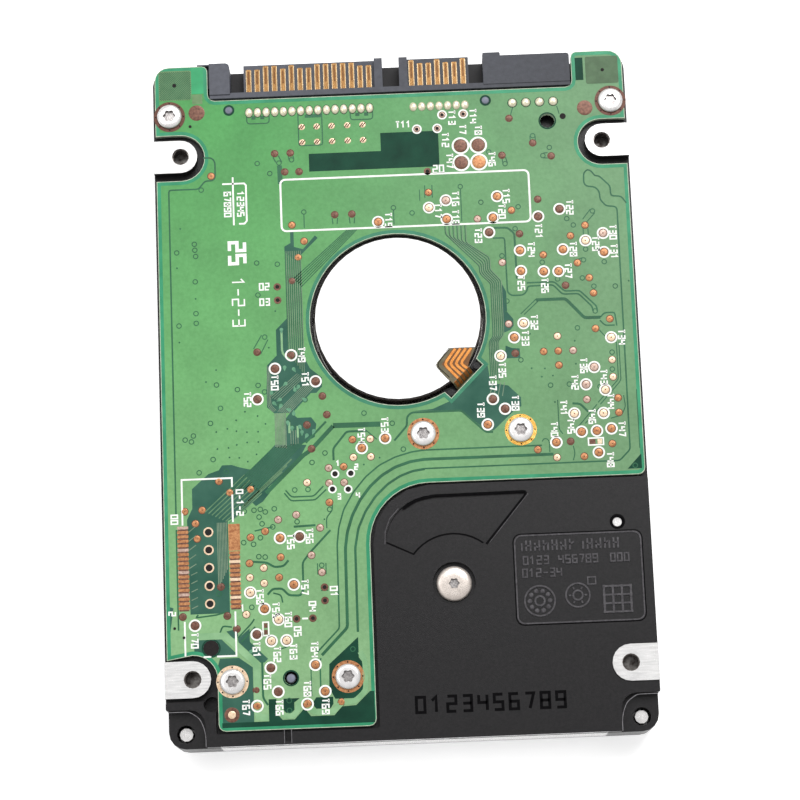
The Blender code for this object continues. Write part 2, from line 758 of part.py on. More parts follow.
def stator_winding():
    """Nine coils, one around each tooth, joined by the lead ring above them."""
    outer, inner = bmesh.new(), bmesh.new()
    for shape, spans in ((outer, (5.85, 7.95, 2.7, 5.9, 8.1)), (inner, (5.5, 8.3, 1.4, 6.2, 7.8))):
        near, far, width, low, high = spans
        size = Matrix.Diagonal(((far - near) * MM, width * MM, (high - low) * MM, 1))
        middle = Matrix.Translation(((near + far) / 2 * MM, 0, (low + high) / 2 * MM))
        for i in range(9):
            turn = Matrix.Rotation(2 * pi * i / 9, 4, "Z")
            bmesh.ops.create_cube(shape, size=1, matrix=turn @ middle @ size)
    coils = mesh_object("stator_winding", outer, copper_wire(), MOTOR_CENTRE)
    cut(coils, mesh_object("tooth_spaces", inner, None, MOTOR_CENTRE))
    join(coils, ring("lead_ring", 6.3, 7.3, 8.0, 8.3, 27, parent=MOTOR_CENTRE))


def bearing_sleeve():
    ring("bearing_sleeve", 1.6, 3.4, 2.65, 8.0, 16, bearing_bronze(), MOTOR_CENTRE)


def motor_label():
    """Round paper label on the bracket, cut away where the flex shows."""
    cut_line = 5.85 - SPINDLE[1]
    reach = 11.95
    start = degrees(asin(cut_line / reach))
    rim = arc((0, 0), reach, start, 306, 44)
    nick = [(5.1, 3.3 - SPINDLE[1]), (7.1, cut_line)]
    prism("motor_label", [rim + nick], MOTOR_TOP + 0.06, MOTOR_TOP + 0.14, white_label(), MOTOR_CENTRE)


def motor_flex():
    """Flexible circuit from the bracket's face down over its edge and under the board."""
    face = rounded(((11.0, 5.75), (9.95, 3.6), (7.15, 1.35), (5.0, 3.35, 0.7), (7.25, 5.75)), 3)
    flex = prism("motor_flex", [face], FLEX_FACE - FLEX_THICK, FLEX_FACE, amber_film())
    join(flex, flex_tail())


def flex_tail():
    """The flex's bend, drawn as a side view and turned to run outwards at 45 degrees."""
    top = ((9.8, 9.36), (12.45, 9.36), (13.35, 7.74), (16.5, 7.74))
    bottom = ((16.5, 7.64), (13.25, 7.64), (12.38, 9.26), (9.8, 9.26))
    tail = prism("flex_tail", [(top + bottom)[::-1]], -FLEX_WIDTH / 2, FLEX_WIDTH / 2)
    stand = Matrix.Rotation(pi / 2, 4, "X")
    turn = Matrix.Rotation(radians(FLEX_ANGLE), 4, "Z")
    tail.data.transform(Matrix.Translation((SPINDLE[0] * MM, SPINDLE[1] * MM, 0)) @ turn @ stand)
    return tail


def rotor():
    """Everything that spins: hub, shaft, magnet, two glass platters, spacer and clamp."""
    hub = (
        (1.6, 2.5), (3.8, 2.5), (3.8, 5.6), (10.3, 5.6), (10.3, 7.9), (10.9, 7.9),
        (10.9, 5.4), (12.0, 5.4), (12.0, 4.9), (9.9, 4.9), (9.9, 1.75), (1.6, 1.75),
    )
    turned("disc_hub", hub, 28, bare_aluminium(), SPINDLE_AXIS)
    shaft = ((0, 7.9), (1.5, 7.9), (1.5, 1.75), (0.9, 1.75), (0.9, 3.2), (0, 3.2))
    turned("spindle_shaft", shaft, 16, polished_steel(), SPINDLE_AXIS)
    ring("rotor_magnet", 9.3, 10.15, 5.8, 7.85, 28, magnet_plating(), SPINDLE_AXIS)
    for name, low in (("lower_platter", LOWER_PLATTER), ("upper_platter", UPPER_PLATTER)):
        high = low + PLATTER_THICK
        ring(name, PLATTER_BORE, PLATTER_RADIUS, low, high, 48, mirror_platter(), SPINDLE_AXIS)
    low, high = LOWER_PLATTER + PLATTER_THICK + 0.06, UPPER_PLATTER - 0.06
    ring("platter_spacer", PLATTER_BORE, 11.8, low, high, 28, bare_aluminium(), SPINDLE_AXIS)
    clamp = ((1.3, 1.65), (10.4, 1.65), (10.4, 1.84), (11.4, 1.84), (11.4, 1.3), (10.9, 1.2), (1.3, 1.2))
    turned("disc_clamp", clamp, 28, polished_steel(), SPINDLE_AXIS)
    screw = ((0, 3.0), (0.8, 3.0), (0.8, 1.14), (2.2, 1.14), (2.2, 0.8), (0, 0.8))
    clamp_screw = turned("clamp_screw", screw, 12, polished_steel(), SPINDLE_AXIS)
    recess = driver_recess("clamp_screw_recess", (0, 0), 0.8, 0.4, 1.05)
    recess.parent = SPINDLE_AXIS
    cut(clamp_screw, recess)


# ---------------------------------------------------------------- actuator, in its own direction


def aim(target):
    """Turn a piece modelled along +X to the parked direction."""
    target.rotation_euler = (0, 0, radians(PARK_ANGLE))
    return target


def arm_outline():
    return rounded(((0, -4.7), (ARM_LENGTH, -2.4, 1.0), (ARM_LENGTH, 2.4, 1.0), (0, 4.7)), 3)


def coil_outline(grow):
    """The trapezoid coil behind the pivot."""
    near, far = 7.9 - grow, 15.4 + grow
    narrow, wide = 2.2 + grow, 5.9 + grow
    radius = 1.2 if grow >= 0 else 0.3
    corners = ((-near, -narrow), (-near, narrow), (-far, wide), (-far, -wide))
    return rounded([(x, y, radius) for x, y in corners], 3)


def e_block():
    """Arms and coil fork in one aluminium body, turning on the pivot bearing."""
    low, high = ARM_LEVELS[0][0], ARM_LEVELS[-1][1]
    block = cylinders("e_block", [(0, 0)], 5.4, low, high, 20, bare_aluminium(), PIVOT_AXIS)
    for number, (low, high) in enumerate(ARM_LEVELS):
        join(block, aim(prism(f"arm_{number}", [arm_outline()], low, high, parent=PIVOT_AXIS)))
    join(block, aim(prism("coil_fork", [fork_outline()], COIL_LOW, COIL_HIGH, parent=PIVOT_AXIS)))
    cut(block, cylinders("pivot_bore", [(0, 0)], 3.62, 0.0, 7.0, 20, parent=PIVOT_AXIS))


def fork_outline():
    """Two prongs that hold the coil between them."""
    outer = [(-3.0, -4.0), (-15.2, -7.6), (-16.2, -6.4), (-15.0, -6.5)]
    inner = [(-7.9, -2.95), (-7.3, -2.2)]
    lower = outer + inner
    upper = [(x, -y) for x, y in reversed(lower)]
    return (lower + upper)[::-1]


def voice_coil():
    loops = [coil_outline(0.0), coil_outline(-1.9)]
    aim(prism("voice_coil", loops, COIL_LOW, COIL_HIGH, copper_wire(), PIVOT_AXIS))


def head_suspensions():
    """Four thin suspensions, each with its head slider and its lift tab."""
    outline = rounded((
        (18.0, -2.0, 0.6), (24.0, -1.9), (HEAD_RADIUS, -0.55), (TAB_END, -0.35, 0.3),
        (TAB_END, 0.35, 0.3), (HEAD_RADIUS, 0.55), (24.0, 1.9), (18.0, 2.0, 0.6),
    ), 2)
    for number, (low, towards) in enumerate(SUSPENSION_LEVELS, 1):
        name, high = f"head_suspension_{number}", low + SUSPENSION_THICK
        spring = aim(prism(name, [outline], low, high, polished_steel(), PIVOT_AXIS))
        slider_low = low + 0.05 if towards > 0 else low - 0.2
        span = (HEAD_RADIUS - 0.6, HEAD_RADIUS + 0.6, -0.5, 0.5, slider_low, slider_low + 0.25)
        join(spring, aim(boxes(f"slider_{number}", [span], parent=PIVOT_AXIS)))


def pivot_bearing():
    ring("pivot_sleeve", 2.12, 3.5, 1.0, 5.75, 20, polished_steel(), PIVOT_AXIS)


def pivot_post():
    """The fixed shaft that the actuator turns on, and the large screw that holds it."""
    shaft = ((1.35, 5.8), (2.0, 5.8), (2.0, 1.1), (0, 1.1), (0, 2.6), (1.35, 2.6))
    turned("pivot_shaft", shaft, 16, plated_steel(), PIVOT_CENTRE)
    screw = ((0, 9.15), (2.3, 9.15), (2.53, 8.95), (2.53, 8.52), (1.2, 8.52), (1.2, 2.9), (0, 2.9))
    head = turned("pivot_screw", screw, 20, polished_steel(), PIVOT_CENTRE)
    recess = driver_recess("pivot_screw_recess", (0, 0), 1.25, 8.7, 9.8)
    recess.parent = PIVOT_CENTRE
    cut(head, recess)


# ---------------------------------------------------------------- voice coil motor, latch, ramp, flex


def yoke_outline():
    return sector(7.1, 17.4, -101, 15.5, 12, PIVOT)


def voice_coil_motor():
    """Two steel yokes with a magnet on each, and posts between them."""
    lower = prism("lower_yoke", [yoke_outline()], 1.2, 2.2, plated_steel())
    posts = [around(PIVOT, POST_RADIUS, angle) for angle in POST_ANGLES]
    join(lower, cylinders("yoke_posts", posts, 0.95, 2.0, 7.1, 10))
    prism("upper_yoke", [yoke_outline()], 7.2, 8.2, plated_steel())
    magnet = [sector(*MAGNET_SECTOR, 8, PIVOT)]
    prism("lower_magnet", magnet, 2.3, 3.3, magnet_plating())
    prism("upper_magnet", magnet, 6.0, 7.1, magnet_plating())
    stop = axis_empty("stop_centre", around(PIVOT, POST_RADIUS, POST_ANGLES[1]))
    ring("crash_stop", 1.05, 1.7, COIL_LOW, COIL_HIGH, 10, black_rubber(), stop)


def latch():
    """Parking latch on its pin; the pin's end shows in the casting."""
    lever = rounded((
        (-6.2, -7.2, 0.4), (-4.4, -7.4, 0.4), (1.6, 0.2, 1.2), (0.6, 1.7, 1.2), (-1.3, 1.4, 1.0),
    ), 3)
    prism("latch_lever", [lever, circle((0, 0), 0.75, 12)], 3.4, 5.6, black_plastic(), LATCH_AXIS)
    cylinders("latch_pin", [LATCH], 0.65, 2.2, 8.95, 14, polished_steel())


def load_ramp():
    """Ramp at the discs' edge: two fingers that the heads' lift tabs rest on."""
    foot = sector(34.9, 37.8, 156.6, 160.2, 3, PIVOT)
    body = prism("load_ramp", [foot], 1.1, CEILING - 0.1, ivory_plastic())
    for number, (low, high) in enumerate(RAMP_FINGERS):
        finger = sector(36.0, 37.7, 150.6, 157.5, 5, PIVOT)
        join(body, prism(f"ramp_finger_{number}", [finger], low, high))


def head_connector():
    """Sealed connector through the casting, between the board and the head flex."""
    outline = rectangle(-28.9, -25.1, -30.5, -18.7, 0.3)
    prism("head_connector", [outline], 4.6, 6.75, ivory_plastic())


def head_flex():
    """Flexible circuit standing on edge, from the head connector to the arm block."""
    route = flex_route()
    left_side, right_side = [], []
    for i, point in enumerate(route):
        ahead = Vector(route[min(i + 1, len(route) - 1)]) - Vector(route[max(i - 1, 0)])
        across = Vector((-ahead.y, ahead.x)).normalized() * 0.08
        left_side.append((point[0] + across.x, point[1] + across.y))
        right_side.append((point[0] - across.x, point[1] - across.y))
    prism("head_flex", [right_side + left_side[::-1]], 1.6, 4.5, amber_film())


def flex_route():
    """A loose loop from under the head connector to the side of the arm block's hub."""
    start, end = Vector((-26.2, -24.8)), Vector((2.98, -32.62))
    pull_a, pull_b = Vector((-17.0, -48.0)), Vector((-5.0, -46.6))
    count = 16
    points = []
    for i in range(count + 1):
        t = i / count
        s = 1 - t
        point = s ** 3 * start + 3 * s * s * t * pull_a + 3 * s * t * t * pull_b + t ** 3 * end
        points.append(tuple(point))
    return points


# ---------------------------------------------------------------- build


def main():
    base_casting()
    top_cover()
    cover_label()
    cover_gasket()
    cover_screws()
    breather_filter()
    recirculation_filter()
    circuit_board()
    board_screws()
    board_foam()
    board_chips()
    board_connector()
    contacts()
    jumper_pins()
    sata_housing()
    motor_bracket()
    stator_core()
    stator_winding()
    bearing_sleeve()
    motor_label()
    motor_flex()
    rotor()
    e_block()
    voice_coil()
    head_suspensions()
    pivot_bearing()
    pivot_post()
    voice_coil_motor()
    latch()
    load_ramp()
    head_connector()
    head_flex()


main()
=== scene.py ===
"""The looks of a 2.5-inch hard disk drive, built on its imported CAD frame."""

import math

import bmesh
import bpy
from mathutils import Matrix, Vector


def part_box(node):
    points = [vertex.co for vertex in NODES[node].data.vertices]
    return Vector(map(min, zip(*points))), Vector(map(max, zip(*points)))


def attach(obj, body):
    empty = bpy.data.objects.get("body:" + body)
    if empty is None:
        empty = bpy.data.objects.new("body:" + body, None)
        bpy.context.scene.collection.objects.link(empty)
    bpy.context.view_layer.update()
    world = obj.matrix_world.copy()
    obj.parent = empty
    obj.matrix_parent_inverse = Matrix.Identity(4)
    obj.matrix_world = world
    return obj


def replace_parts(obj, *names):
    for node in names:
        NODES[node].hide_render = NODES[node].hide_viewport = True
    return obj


MM = 0.001
BOARD = 8.7                 # top of the circuit board, in mm like every length below
MASK_LINE = 0.012           # how far a change of the solder mask stands up
SILK = 0.03                 # height of the white print
RIM, PAD, DOT = 0.02, 0.05, 0.06    # heights of a land's dark rim, the land itself and its centre
CAST_TOP = 9.25             # top of the casting's lower field
PITCH = 1.27                # pitch of the connector's contacts and joints
SPINDLE = (0, 10.6)
PIVOT = (6.5, -28.3)
HOLE_X = 30.86              # the four screw holes in the pads
HOLE_ROWS = (36.1, -40.5)
FLEX_TRACKS = 4

CAMERA_PLACE = (0.000735, -0.079637, 0.386388)
CAMERA_RIGHT = (0.99918646, -0.03896139, -0.01041298)
CAMERA_UP = (0.04026356, 0.97843322, 0.20260129)
CAMERA_LENS = 120.64
WORLD_LIGHT = 0.62
LAMPS = (
    ("key_lamp", (0.2, 0.48, 0.8), 0.5, 5.9),
    ("fill_lamp", (-0.5, 0.2, 0.8), 0.6, 2.2),
)

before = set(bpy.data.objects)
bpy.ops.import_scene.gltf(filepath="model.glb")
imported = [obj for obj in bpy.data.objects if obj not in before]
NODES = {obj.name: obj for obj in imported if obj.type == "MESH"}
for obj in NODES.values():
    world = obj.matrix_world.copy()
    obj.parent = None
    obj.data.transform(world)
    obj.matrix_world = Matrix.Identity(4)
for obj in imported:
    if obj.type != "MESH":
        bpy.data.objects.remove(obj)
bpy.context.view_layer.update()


# ---------------------------------------------------------------- materials


def srgb(r, g, b):
    """Linear colour of an 8-bit display colour."""
    return tuple(((c / 255 + 0.055) / 1.055) ** 2.4 if c > 10 else c / 3295 for c in (r, g, b)) + (1.0,)


class Look:
    """A Principled material whose colour, roughness and bump come from noise in millimetres."""

    def __init__(self, name, rough, metal=0.0, **sockets):
        self.mat = bpy.data.materials.new(name)
        self.mat.use_nodes = True
        self.nodes = self.mat.node_tree.nodes
        self.links = self.mat.node_tree.links
        self.shader = self.nodes["Principled BSDF"]
        self.shader.inputs["Metallic"].default_value = metal
        self.shader.inputs["Roughness"].default_value = rough
        for socket, value in sockets.items():
            self.shader.inputs[socket.replace("_", " ")].default_value = value
        self.place = self.nodes.new("ShaderNodeTexCoord").outputs["Object"]

    def noise(self, size, detail=3.0, stretch=(1, 1, 1), rough=0.5):
        """Noise with blobs of about the given size in mm."""
        mapping = self.nodes.new("ShaderNodeMapping")
        mapping.inputs["Scale"].default_value = tuple(s / (size * MM) for s in stretch)
        self.links.new(self.place, mapping.inputs["Vector"])
        noise = self.nodes.new("ShaderNodeTexNoise")
        noise.inputs["Scale"].default_value = 1.0
        noise.inputs["Detail"].default_value = detail
        noise.inputs["Roughness"].default_value = rough
        self.links.new(mapping.outputs["Vector"], noise.inputs["Vector"])
        return noise.outputs["Fac"]

    def ramp(self, factor, stops):
        """Colour ramp through (position, colour) stops."""
        node = self.nodes.new("ShaderNodeValToRGB")
        row = node.color_ramp.elements
        while len(row) < len(stops):
            row.new(0.5)
        for element, (position, colour) in zip(row, stops):
            element.position = position
            element.color = colour
        self.links.new(factor, node.inputs["Fac"])
        return node.outputs["Color"]

    def mix(self, factor, first, second, mode="MIX"):
        node = self.nodes.new("ShaderNodeMix")
        node.data_type = "RGBA"
        node.blend_type = mode
        for socket, value in (("Factor", factor), ("A", first), ("B", second)):
            target = [s for s in node.inputs if s.name == socket and s.type in ("VALUE", "RGBA")]
            target = target[0] if socket == "Factor" else target[-1]
            if isinstance(value, bpy.types.NodeSocket):
                self.links.new(value, target)
            else:
                target.default_value = value
        return [s for s in node.outputs if s.type == "RGBA"][0]

    def level(self, value, low, high, out_low=0.0, out_high=1.0):
        """Map a value from low..high to out_low..out_high."""
        node = self.nodes.new("ShaderNodeMapRange")
        for socket, number in zip(node.inputs[1:5], (low, high, out_low, out_high)):
            socket.default_value = number
        self.links.new(value, node.inputs[0])
        return node.outputs[0]

    def axis(self, which):
        """Place along X, Y or Z, in metres."""
        node = self.nodes.new("ShaderNodeSeparateXYZ")
        self.links.new(self.place, node.inputs[0])
        return node.outputs[which]

    def facing(self, which):
        """The surface normal's X, Y or Z."""
        node = self.nodes.new("ShaderNodeSeparateXYZ")
        geometry = self.nodes.new("ShaderNodeNewGeometry")
        self.links.new(geometry.outputs["Normal"], node.inputs[0])
        return node.outputs[which]

    def math(self, operation, *values):
        node = self.nodes.new("ShaderNodeMath")
        node.operation = operation
        for socket, value in zip(node.inputs, values):
            if isinstance(value, bpy.types.NodeSocket):
                self.links.new(value, socket)
            else:
                socket.default_value = value
        return node.outputs[0]

    def over(self, value, limit):
        return self.math("GREATER_THAN", value, limit)

    def under(self, value, limit):
        return self.math("LESS_THAN", value, limit)

    def near(self, value, middle, reach):
        return self.math("COMPARE", value, middle * MM, reach * MM)

    def both(self, first, *others):
        """1 where every mask is 1."""
        for mask in others:
            first = self.math("MULTIPLY", first, mask)
        return first

    def either(self, first, *others):
        for mask in others:
            first = self.math("MAXIMUM", first, mask)
        return first

    def mottle(self, size, dark, light, detail=3.0, low=0.3, high=0.7, stretch=(1, 1, 1)):
        """Two 8-bit colours mixed by noise."""
        stops = ((low, srgb(*dark)), (high, srgb(*light)))
        return self.ramp(self.noise(size, detail, stretch), stops)

    def colour(self, output):
        self.links.new(output, self.shader.inputs["Base Color"])

    def roughness(self, output):
        self.links.new(output, self.shader.inputs["Roughness"])

    def bump(self, height, distance, strength=1.0):
        node = self.nodes.new("ShaderNodeBump")
        node.inputs["Strength"].default_value = strength
        node.inputs["Distance"].default_value = distance * MM
        self.links.new(height, node.inputs["Height"])
        self.links.new(node.outputs["Normal"], self.shader.inputs["Normal"])


def plain(name, dark, light, rough, metal=0.0, size=1.5, bump=0.01, grain=0.12,
          stretch=(1, 1, 1), level=0.3, **sockets):
    """A surface that varies between two near colours, with uneven gloss and a fine grain."""
    look = Look(name, rough, metal, Specular_IOR_Level=level, **sockets)
    look.colour(look.mottle(size, dark, light, stretch=stretch))
    fine = look.noise(grain, stretch=stretch)
    look.roughness(look.level(fine, 0.3, 0.7, max(rough - 0.07, 0.03), rough + 0.07))
    look.bump(fine, bump)
    return look.mat


def solder_mask():
    """Green mask over copper, yellower towards the lower end, with pale routed sides."""
    look = Look("mask_over_copper", 0.34, Specular_IOR_Level=0.24)
    along = look.level(look.axis("Y"), -0.045, 0.045)
    greens = ((0.0, (140, 180, 132)), (0.3, (124, 175, 118)), (0.55, (104, 167, 103)), (1.0, (78, 155, 84)))
    base = look.ramp(along, [(place, srgb(*green)) for place, green in greens])
    across = look.level(look.axis("X"), -0.02, 0.03, 0.0, 0.85)
    base = look.mix(across, base, srgb(110, 148, 109))
    cloud = look.mottle(9.0, (238, 238, 238), (255, 255, 255), 4.0, 0.35, 0.65)
    speck = look.mottle(0.5, (236, 240, 236), (255, 255, 255), 2.0)
    base = look.mix(1.0, look.mix(1.0, base, cloud, "MULTIPLY"), speck, "MULTIPLY")
    side = look.under(look.math("ABSOLUTE", look.facing("Z")), 0.5)
    look.colour(look.mix(side, base, look.mottle(0.3, (168, 190, 160), (214, 226, 204), 4.0)))
    look.bump(look.noise(0.9, 2.0), 0.012)
    return look.mat


def casting_coat():
    """Black coat with a fine orange peel; the pads and the lower end face are bare metal, with painted shade
    on the metal down the screw holes.
    """
    look = Look("casting_coat", 0.32, Specular_IOR_Level=0.27)
    x, y, z = (look.axis(axis) for axis in "XYZ")
    aside = look.math("ABSOLUTE", x)
    coat = look.mottle(0.35, (14, 13, 15), (25, 23, 25), 4.0)
    metal = look.mottle(0.5, (200, 199, 199), (228, 227, 226), stretch=(0.2, 2.0, 1.0))
    # painted shade: the bare metal inside the screw holes, below the pads' tops, is darker
    bore_shade = look.mottle(0.8, (84, 74, 70), (176, 172, 168), 3.0, 0.35, 0.65)
    rows = look.either(*(look.near(y, row, 1.32) for row in HOLE_ROWS))
    hole = look.both(look.near(aside, HOLE_X, 1.32), rows, look.over(z, 0.006))
    end = look.both(look.under(look.facing("Y"), -0.9), look.under(y, -0.04995))
    face = look.both(end, look.both(look.under(aside, 0.0272), look.over(z, 0.0021)))
    broken = look.over(look.noise(0.35, 1.0, (1.0, 1.0, 0.1)), 0.42)
    seam = look.both(look.near(z, 8.3, 0.28), look.over(x, -0.0195), broken)
    face = look.both(face, look.math("SUBTRACT", 1.0, seam))
    bare = look.either(look.over(z, 0.00945), hole, face)
    metal = look.mix(look.both(hole, look.under(z, 0.0093)), metal, bore_shade)
    look.colour(look.mix(bare, coat, metal))
    fine = look.noise(0.12, 3.0)
    look.links.new(look.math("MULTIPLY", bare, 0.35), look.shader.inputs["Metallic"])
    gloss = look.level(fine, 0.3, 0.7, 0.28, 0.38)
    look.roughness(look.math("ADD", gloss, look.math("MULTIPLY", bare, -0.1)))
    look.bump(fine, 0.02)
    return look.mat


def housing_resin():
    """Dark grey moulded resin, a little lighter towards the left end, with painted shade on its parts below
    5.4 mm.
    """
    look = Look("housing_resin", 0.5, Specular_IOR_Level=0.3)
    along = look.level(look.axis("X"), -0.025, 0.025)
    base = look.ramp(along, ((0.0, srgb(84, 86, 95)), (1.0, srgb(62, 64, 71))))
    base = look.mix(1.0, base, look.mottle(0.7, (226, 226, 226), (255, 255, 255)), "MULTIPLY")
    # painted shade: everything below 5.4 mm, the web under the board, is nearly black
    look.colour(look.mix(look.under(look.axis("Z"), 0.0054), base, srgb(24, 22, 25)))
    look.bump(look.noise(0.15), 0.015)
    return look.mat


def label_paper():
    """White paper with plain bars, a striped block and a tinted panel."""
    look = Look("label_paper", 0.5, Specular_IOR_Level=0.3)
    x, y = look.axis("X"), look.axis("Y")

    def within(left, right, low, high):
        across = look.near(x, (left + right) / 2, (right - left) / 2)
        return look.both(across, look.near(y, (low + high) / 2, (high - low) / 2))

    base = look.mottle(5.0, (236, 236, 234), (246, 246, 244))
    base = look.mix(within(-26, 26, 30, 42), base, srgb(176, 194, 206))
    rows = look.under(look.math("FRACT", look.math("DIVIDE", y, 2.2 * MM)), 0.4)
    words = look.over(look.noise(2.4, 1.0, (1.2, 0.22, 1.0)), 0.45)
    bars = look.both(rows, words, within(-25, 6, -20, 26))
    stripes = look.over(look.noise(0.7, 2.0, (1.0, 0.001, 0.001)), 0.5)
    stripes = look.both(stripes, look.either(within(-25, 8, -40, -33), within(-25, -2, -30, -25)))
    panel = look.math("SUBTRACT", within(11, 25, -40, 26), within(11.4, 24.6, -39.6, 25.6))
    look.colour(look.mix(look.either(panel, look.either(bars, stripes)), base, srgb(52, 54, 58)))
    look.bump(look.noise(0.12), 0.004)
    return look.mat


def turned_metal(name, centre, dark, light, rough, rim=None):
    """Metal with fine turning rings about a centre in mm, with painted shade beyond the rim radius."""
    look = Look(name, rough, 1.0)
    x = look.math("SUBTRACT", look.axis("X"), centre[0] * MM)
    y = look.math("SUBTRACT", look.axis("Y"), centre[1] * MM)
    far = look.math("SQRT", look.math("ADD", look.both(x, x), look.both(y, y)))
    rings = look.math("SINE", look.math("MULTIPLY", far, 2 * math.pi / (0.25 * MM)))
    uneven = look.math("ADD", look.math("MULTIPLY", rings, 0.25), look.noise(1.2, 3.0))
    face = look.ramp(uneven, ((0.2, srgb(*dark)), (0.9, srgb(*light))))
    # painted shade: past the rim radius the metal turns dark brown and less metallic, for the bracket's edge
    # in shadow
    if rim:
        beyond = look.over(far, rim * MM)
        face = look.mix(beyond, face, look.mottle(0.8, (40, 33, 33), (62, 52, 50)))
        look.links.new(look.math("SUBTRACT", 1.0, beyond), look.shader.inputs["Metallic"])
    look.colour(face)
    look.roughness(look.level(look.noise(0.4), 0.3, 0.7, rough - 0.05, rough + 0.08))
    look.bump(rings, 0.003)
    return look.mat


def build_looks():
    """Every material, by name."""
    looks = {}

    def add(name, dark, light, *args, **more):
        looks[name] = plain(name, dark, light, *args, **more)

    looks["mask"] = solder_mask()
    looks["casting"] = casting_coat()
    looks["bracket"] = turned_metal("bracket_metal", SPINDLE, (150, 148, 146), (214, 212, 208), 0.3, 11.9)
    looks["hub"] = turned_metal("hub_metal", SPINDLE, (170, 170, 172), (225, 225, 228), 0.25)
    looks["disc"] = turned_metal("disc_coating", SPINDLE, (196, 194, 190), (222, 220, 216), 0.09)
    looks["pivot"] = turned_metal("pivot_metal", PIVOT, (150, 150, 152), (212, 212, 214), 0.25)
    # painted highlight: the casting's black coat made lighter for its relief and the light lines along its
    # steps
    add("coat_relief", (58, 56, 59), (84, 82, 85), 0.26, size=0.5)
    # black print on the casting, the flex's dark edge, and painted shadow lines along the casting's steps
    add("ink", (6, 6, 7), (12, 11, 13), 0.7, size=0.5, level=0.04)
    # painted highlight: brighter lines along the casting's corner pockets and groove
    add("coat_shine", (92, 90, 93), (132, 130, 133), 0.26, size=0.5)
    add("mask_gap", (24, 82, 52), (36, 100, 66), 0.4, size=3.0)
    add("mask_bare", (38, 82, 68), (60, 102, 86), 0.45, size=4.0, level=0.12)
    add("mask_dark", (8, 52, 38), (18, 68, 50), 0.45, size=3.0, level=0.12)
    add("mask_trace", (112, 158, 112), (138, 180, 134), 0.38, size=2.0)
    add("mask_line", (96, 122, 98), (122, 142, 118), 0.38, size=1.2)
    add("mask_faint", (72, 112, 80), (94, 132, 96), 0.4, size=1.2)
    add("mask_drop", (70, 126, 96), (98, 152, 118), 0.38, size=0.6)
    add("mask_band", (24, 124, 84), (48, 148, 106), 0.36, size=3.0)
    add("mask_rim", (30, 106, 78), (54, 130, 98), 0.36, size=3.0)
    add("mask_hatch", (88, 122, 78), (104, 136, 92), 0.42, size=1.0)
    add("mask_bright", (34, 138, 86), (52, 168, 110), 0.36, size=4.0)
    add("mask_dull", (58, 86, 54), (74, 104, 70), 0.42, size=1.5)
    add("glass_edge", (160, 178, 152), (206, 216, 194), 0.6, size=0.6)
    add("silk", (226, 228, 222), (248, 248, 244), 0.55, size=1.0, bump=0.006)
    add("pad_brown", (82, 52, 42), (124, 86, 70), 0.34, 0.25, size=0.35)
    add("pad_orange", (148, 92, 56), (196, 140, 94), 0.3, 0.3, size=0.4)
    add("pad_cream", (206, 172, 138), (240, 218, 190), 0.3, 0.3, size=0.4)
    add("pad_pale", (158, 128, 114), (200, 174, 160), 0.3, 0.25, size=0.4)
    add("pad_gold", (206, 150, 60), (238, 196, 110), 0.25, 0.7, size=0.5)
    add("drill", (12, 8, 8), (26, 20, 18), 0.7, size=0.4)
    add("pad_shade", (78, 46, 36), (104, 66, 52), 0.4, 0.2, size=0.3)
    add("solder", (200, 192, 164), (234, 228, 204), 0.24, 0.35, size=0.5, bump=0.03, grain=0.4)
    add("steel", (196, 196, 200), (232, 232, 236), 0.16, 1.0, size=0.6)
    add("screw_face", (214, 212, 211), (240, 238, 237), 0.24, 0.5, size=1.2, bump=0.0)
    add("steel_shade", (124, 120, 120), (178, 174, 172), 0.3, 0.9, size=0.3)
    add("warm_steel", (196, 186, 178), (222, 212, 204), 0.3, 0.5, size=0.8)
    # painted shade: dark steel for the threads down the screw holes
    add("hole_steel", (70, 64, 62), (132, 126, 122), 0.3, 0.9, size=0.6)
    add("plated", (150, 150, 152), (186, 186, 188), 0.3, 1.0, size=0.8)
    add("sheet", (176, 176, 178), (204, 204, 206), 0.32, 1.0, size=1.2, stretch=(1, 0.05, 1))
    looks["label"] = label_paper()
    add("motor_face", (250, 250, 250), (255, 255, 255), 0.45, size=4.0, bump=0.003)
    looks["housing"] = housing_resin()
    add("peg_resin", (104, 108, 122), (126, 130, 146), 0.4, size=0.7)
    add("black_resin", (20, 20, 22), (34, 34, 36), 0.42, size=0.8)
    add("ivory_resin", (214, 206, 180), (232, 226, 204), 0.42, size=0.8)
    add("contact", (116, 82, 42), (150, 112, 64), 0.3, 0.5, size=0.6, stretch=(3, 0.6, 1))
    add("contact_edge", (172, 148, 112), (198, 176, 140), 0.3, 0.4, size=0.5)
    add("contact_mark", (84, 54, 26), (110, 74, 38), 0.34, 0.5, size=0.3, stretch=(2, 0.6, 1))
    add("film", (84, 78, 56), (106, 98, 72), 0.34, size=1.0, Coat_Weight=0.2)
    add("film_trace", (196, 120, 46), (220, 146, 68), 0.3, 0.2, size=0.8)
    add("film_gap", (92, 56, 18), (120, 74, 26), 0.34, size=0.8)
    # painted shade: the flex tracks' colour made darker where they slope down into the gap
    add("film_deep", (126, 70, 22), (164, 96, 34), 0.34, size=0.5)
    add("rubber", (22, 22, 23), (36, 36, 37), 0.8, size=0.5)
    add("foam", (42, 42, 46), (66, 66, 70), 0.95, size=0.3, bump=0.05)
    add("felt", (210, 210, 204), (236, 236, 232), 0.95, size=0.3, bump=0.04, stretch=(1, 4, 1))
    add("magnet", (140, 138, 132), (170, 168, 162), 0.3, 1.0, size=0.8)
    add("copper", (166, 84, 40), (212, 126, 70), 0.32, 0.95, size=0.3, stretch=(1, 1, 6))
    add("bronze", (136, 104, 58), (176, 142, 84), 0.4, 0.9, size=0.2)
    add("lamella", (140, 140, 142), (176, 176, 178), 0.35, 0.95, size=0.25, stretch=(0.2, 0.2, 4))
    add("floor", (250, 250, 250), (255, 255, 255), 0.7, size=60.0, bump=0.01,
        Emission_Color=(1.0, 1.0, 1.0, 1.0), Emission_Strength=0.4)
    return looks


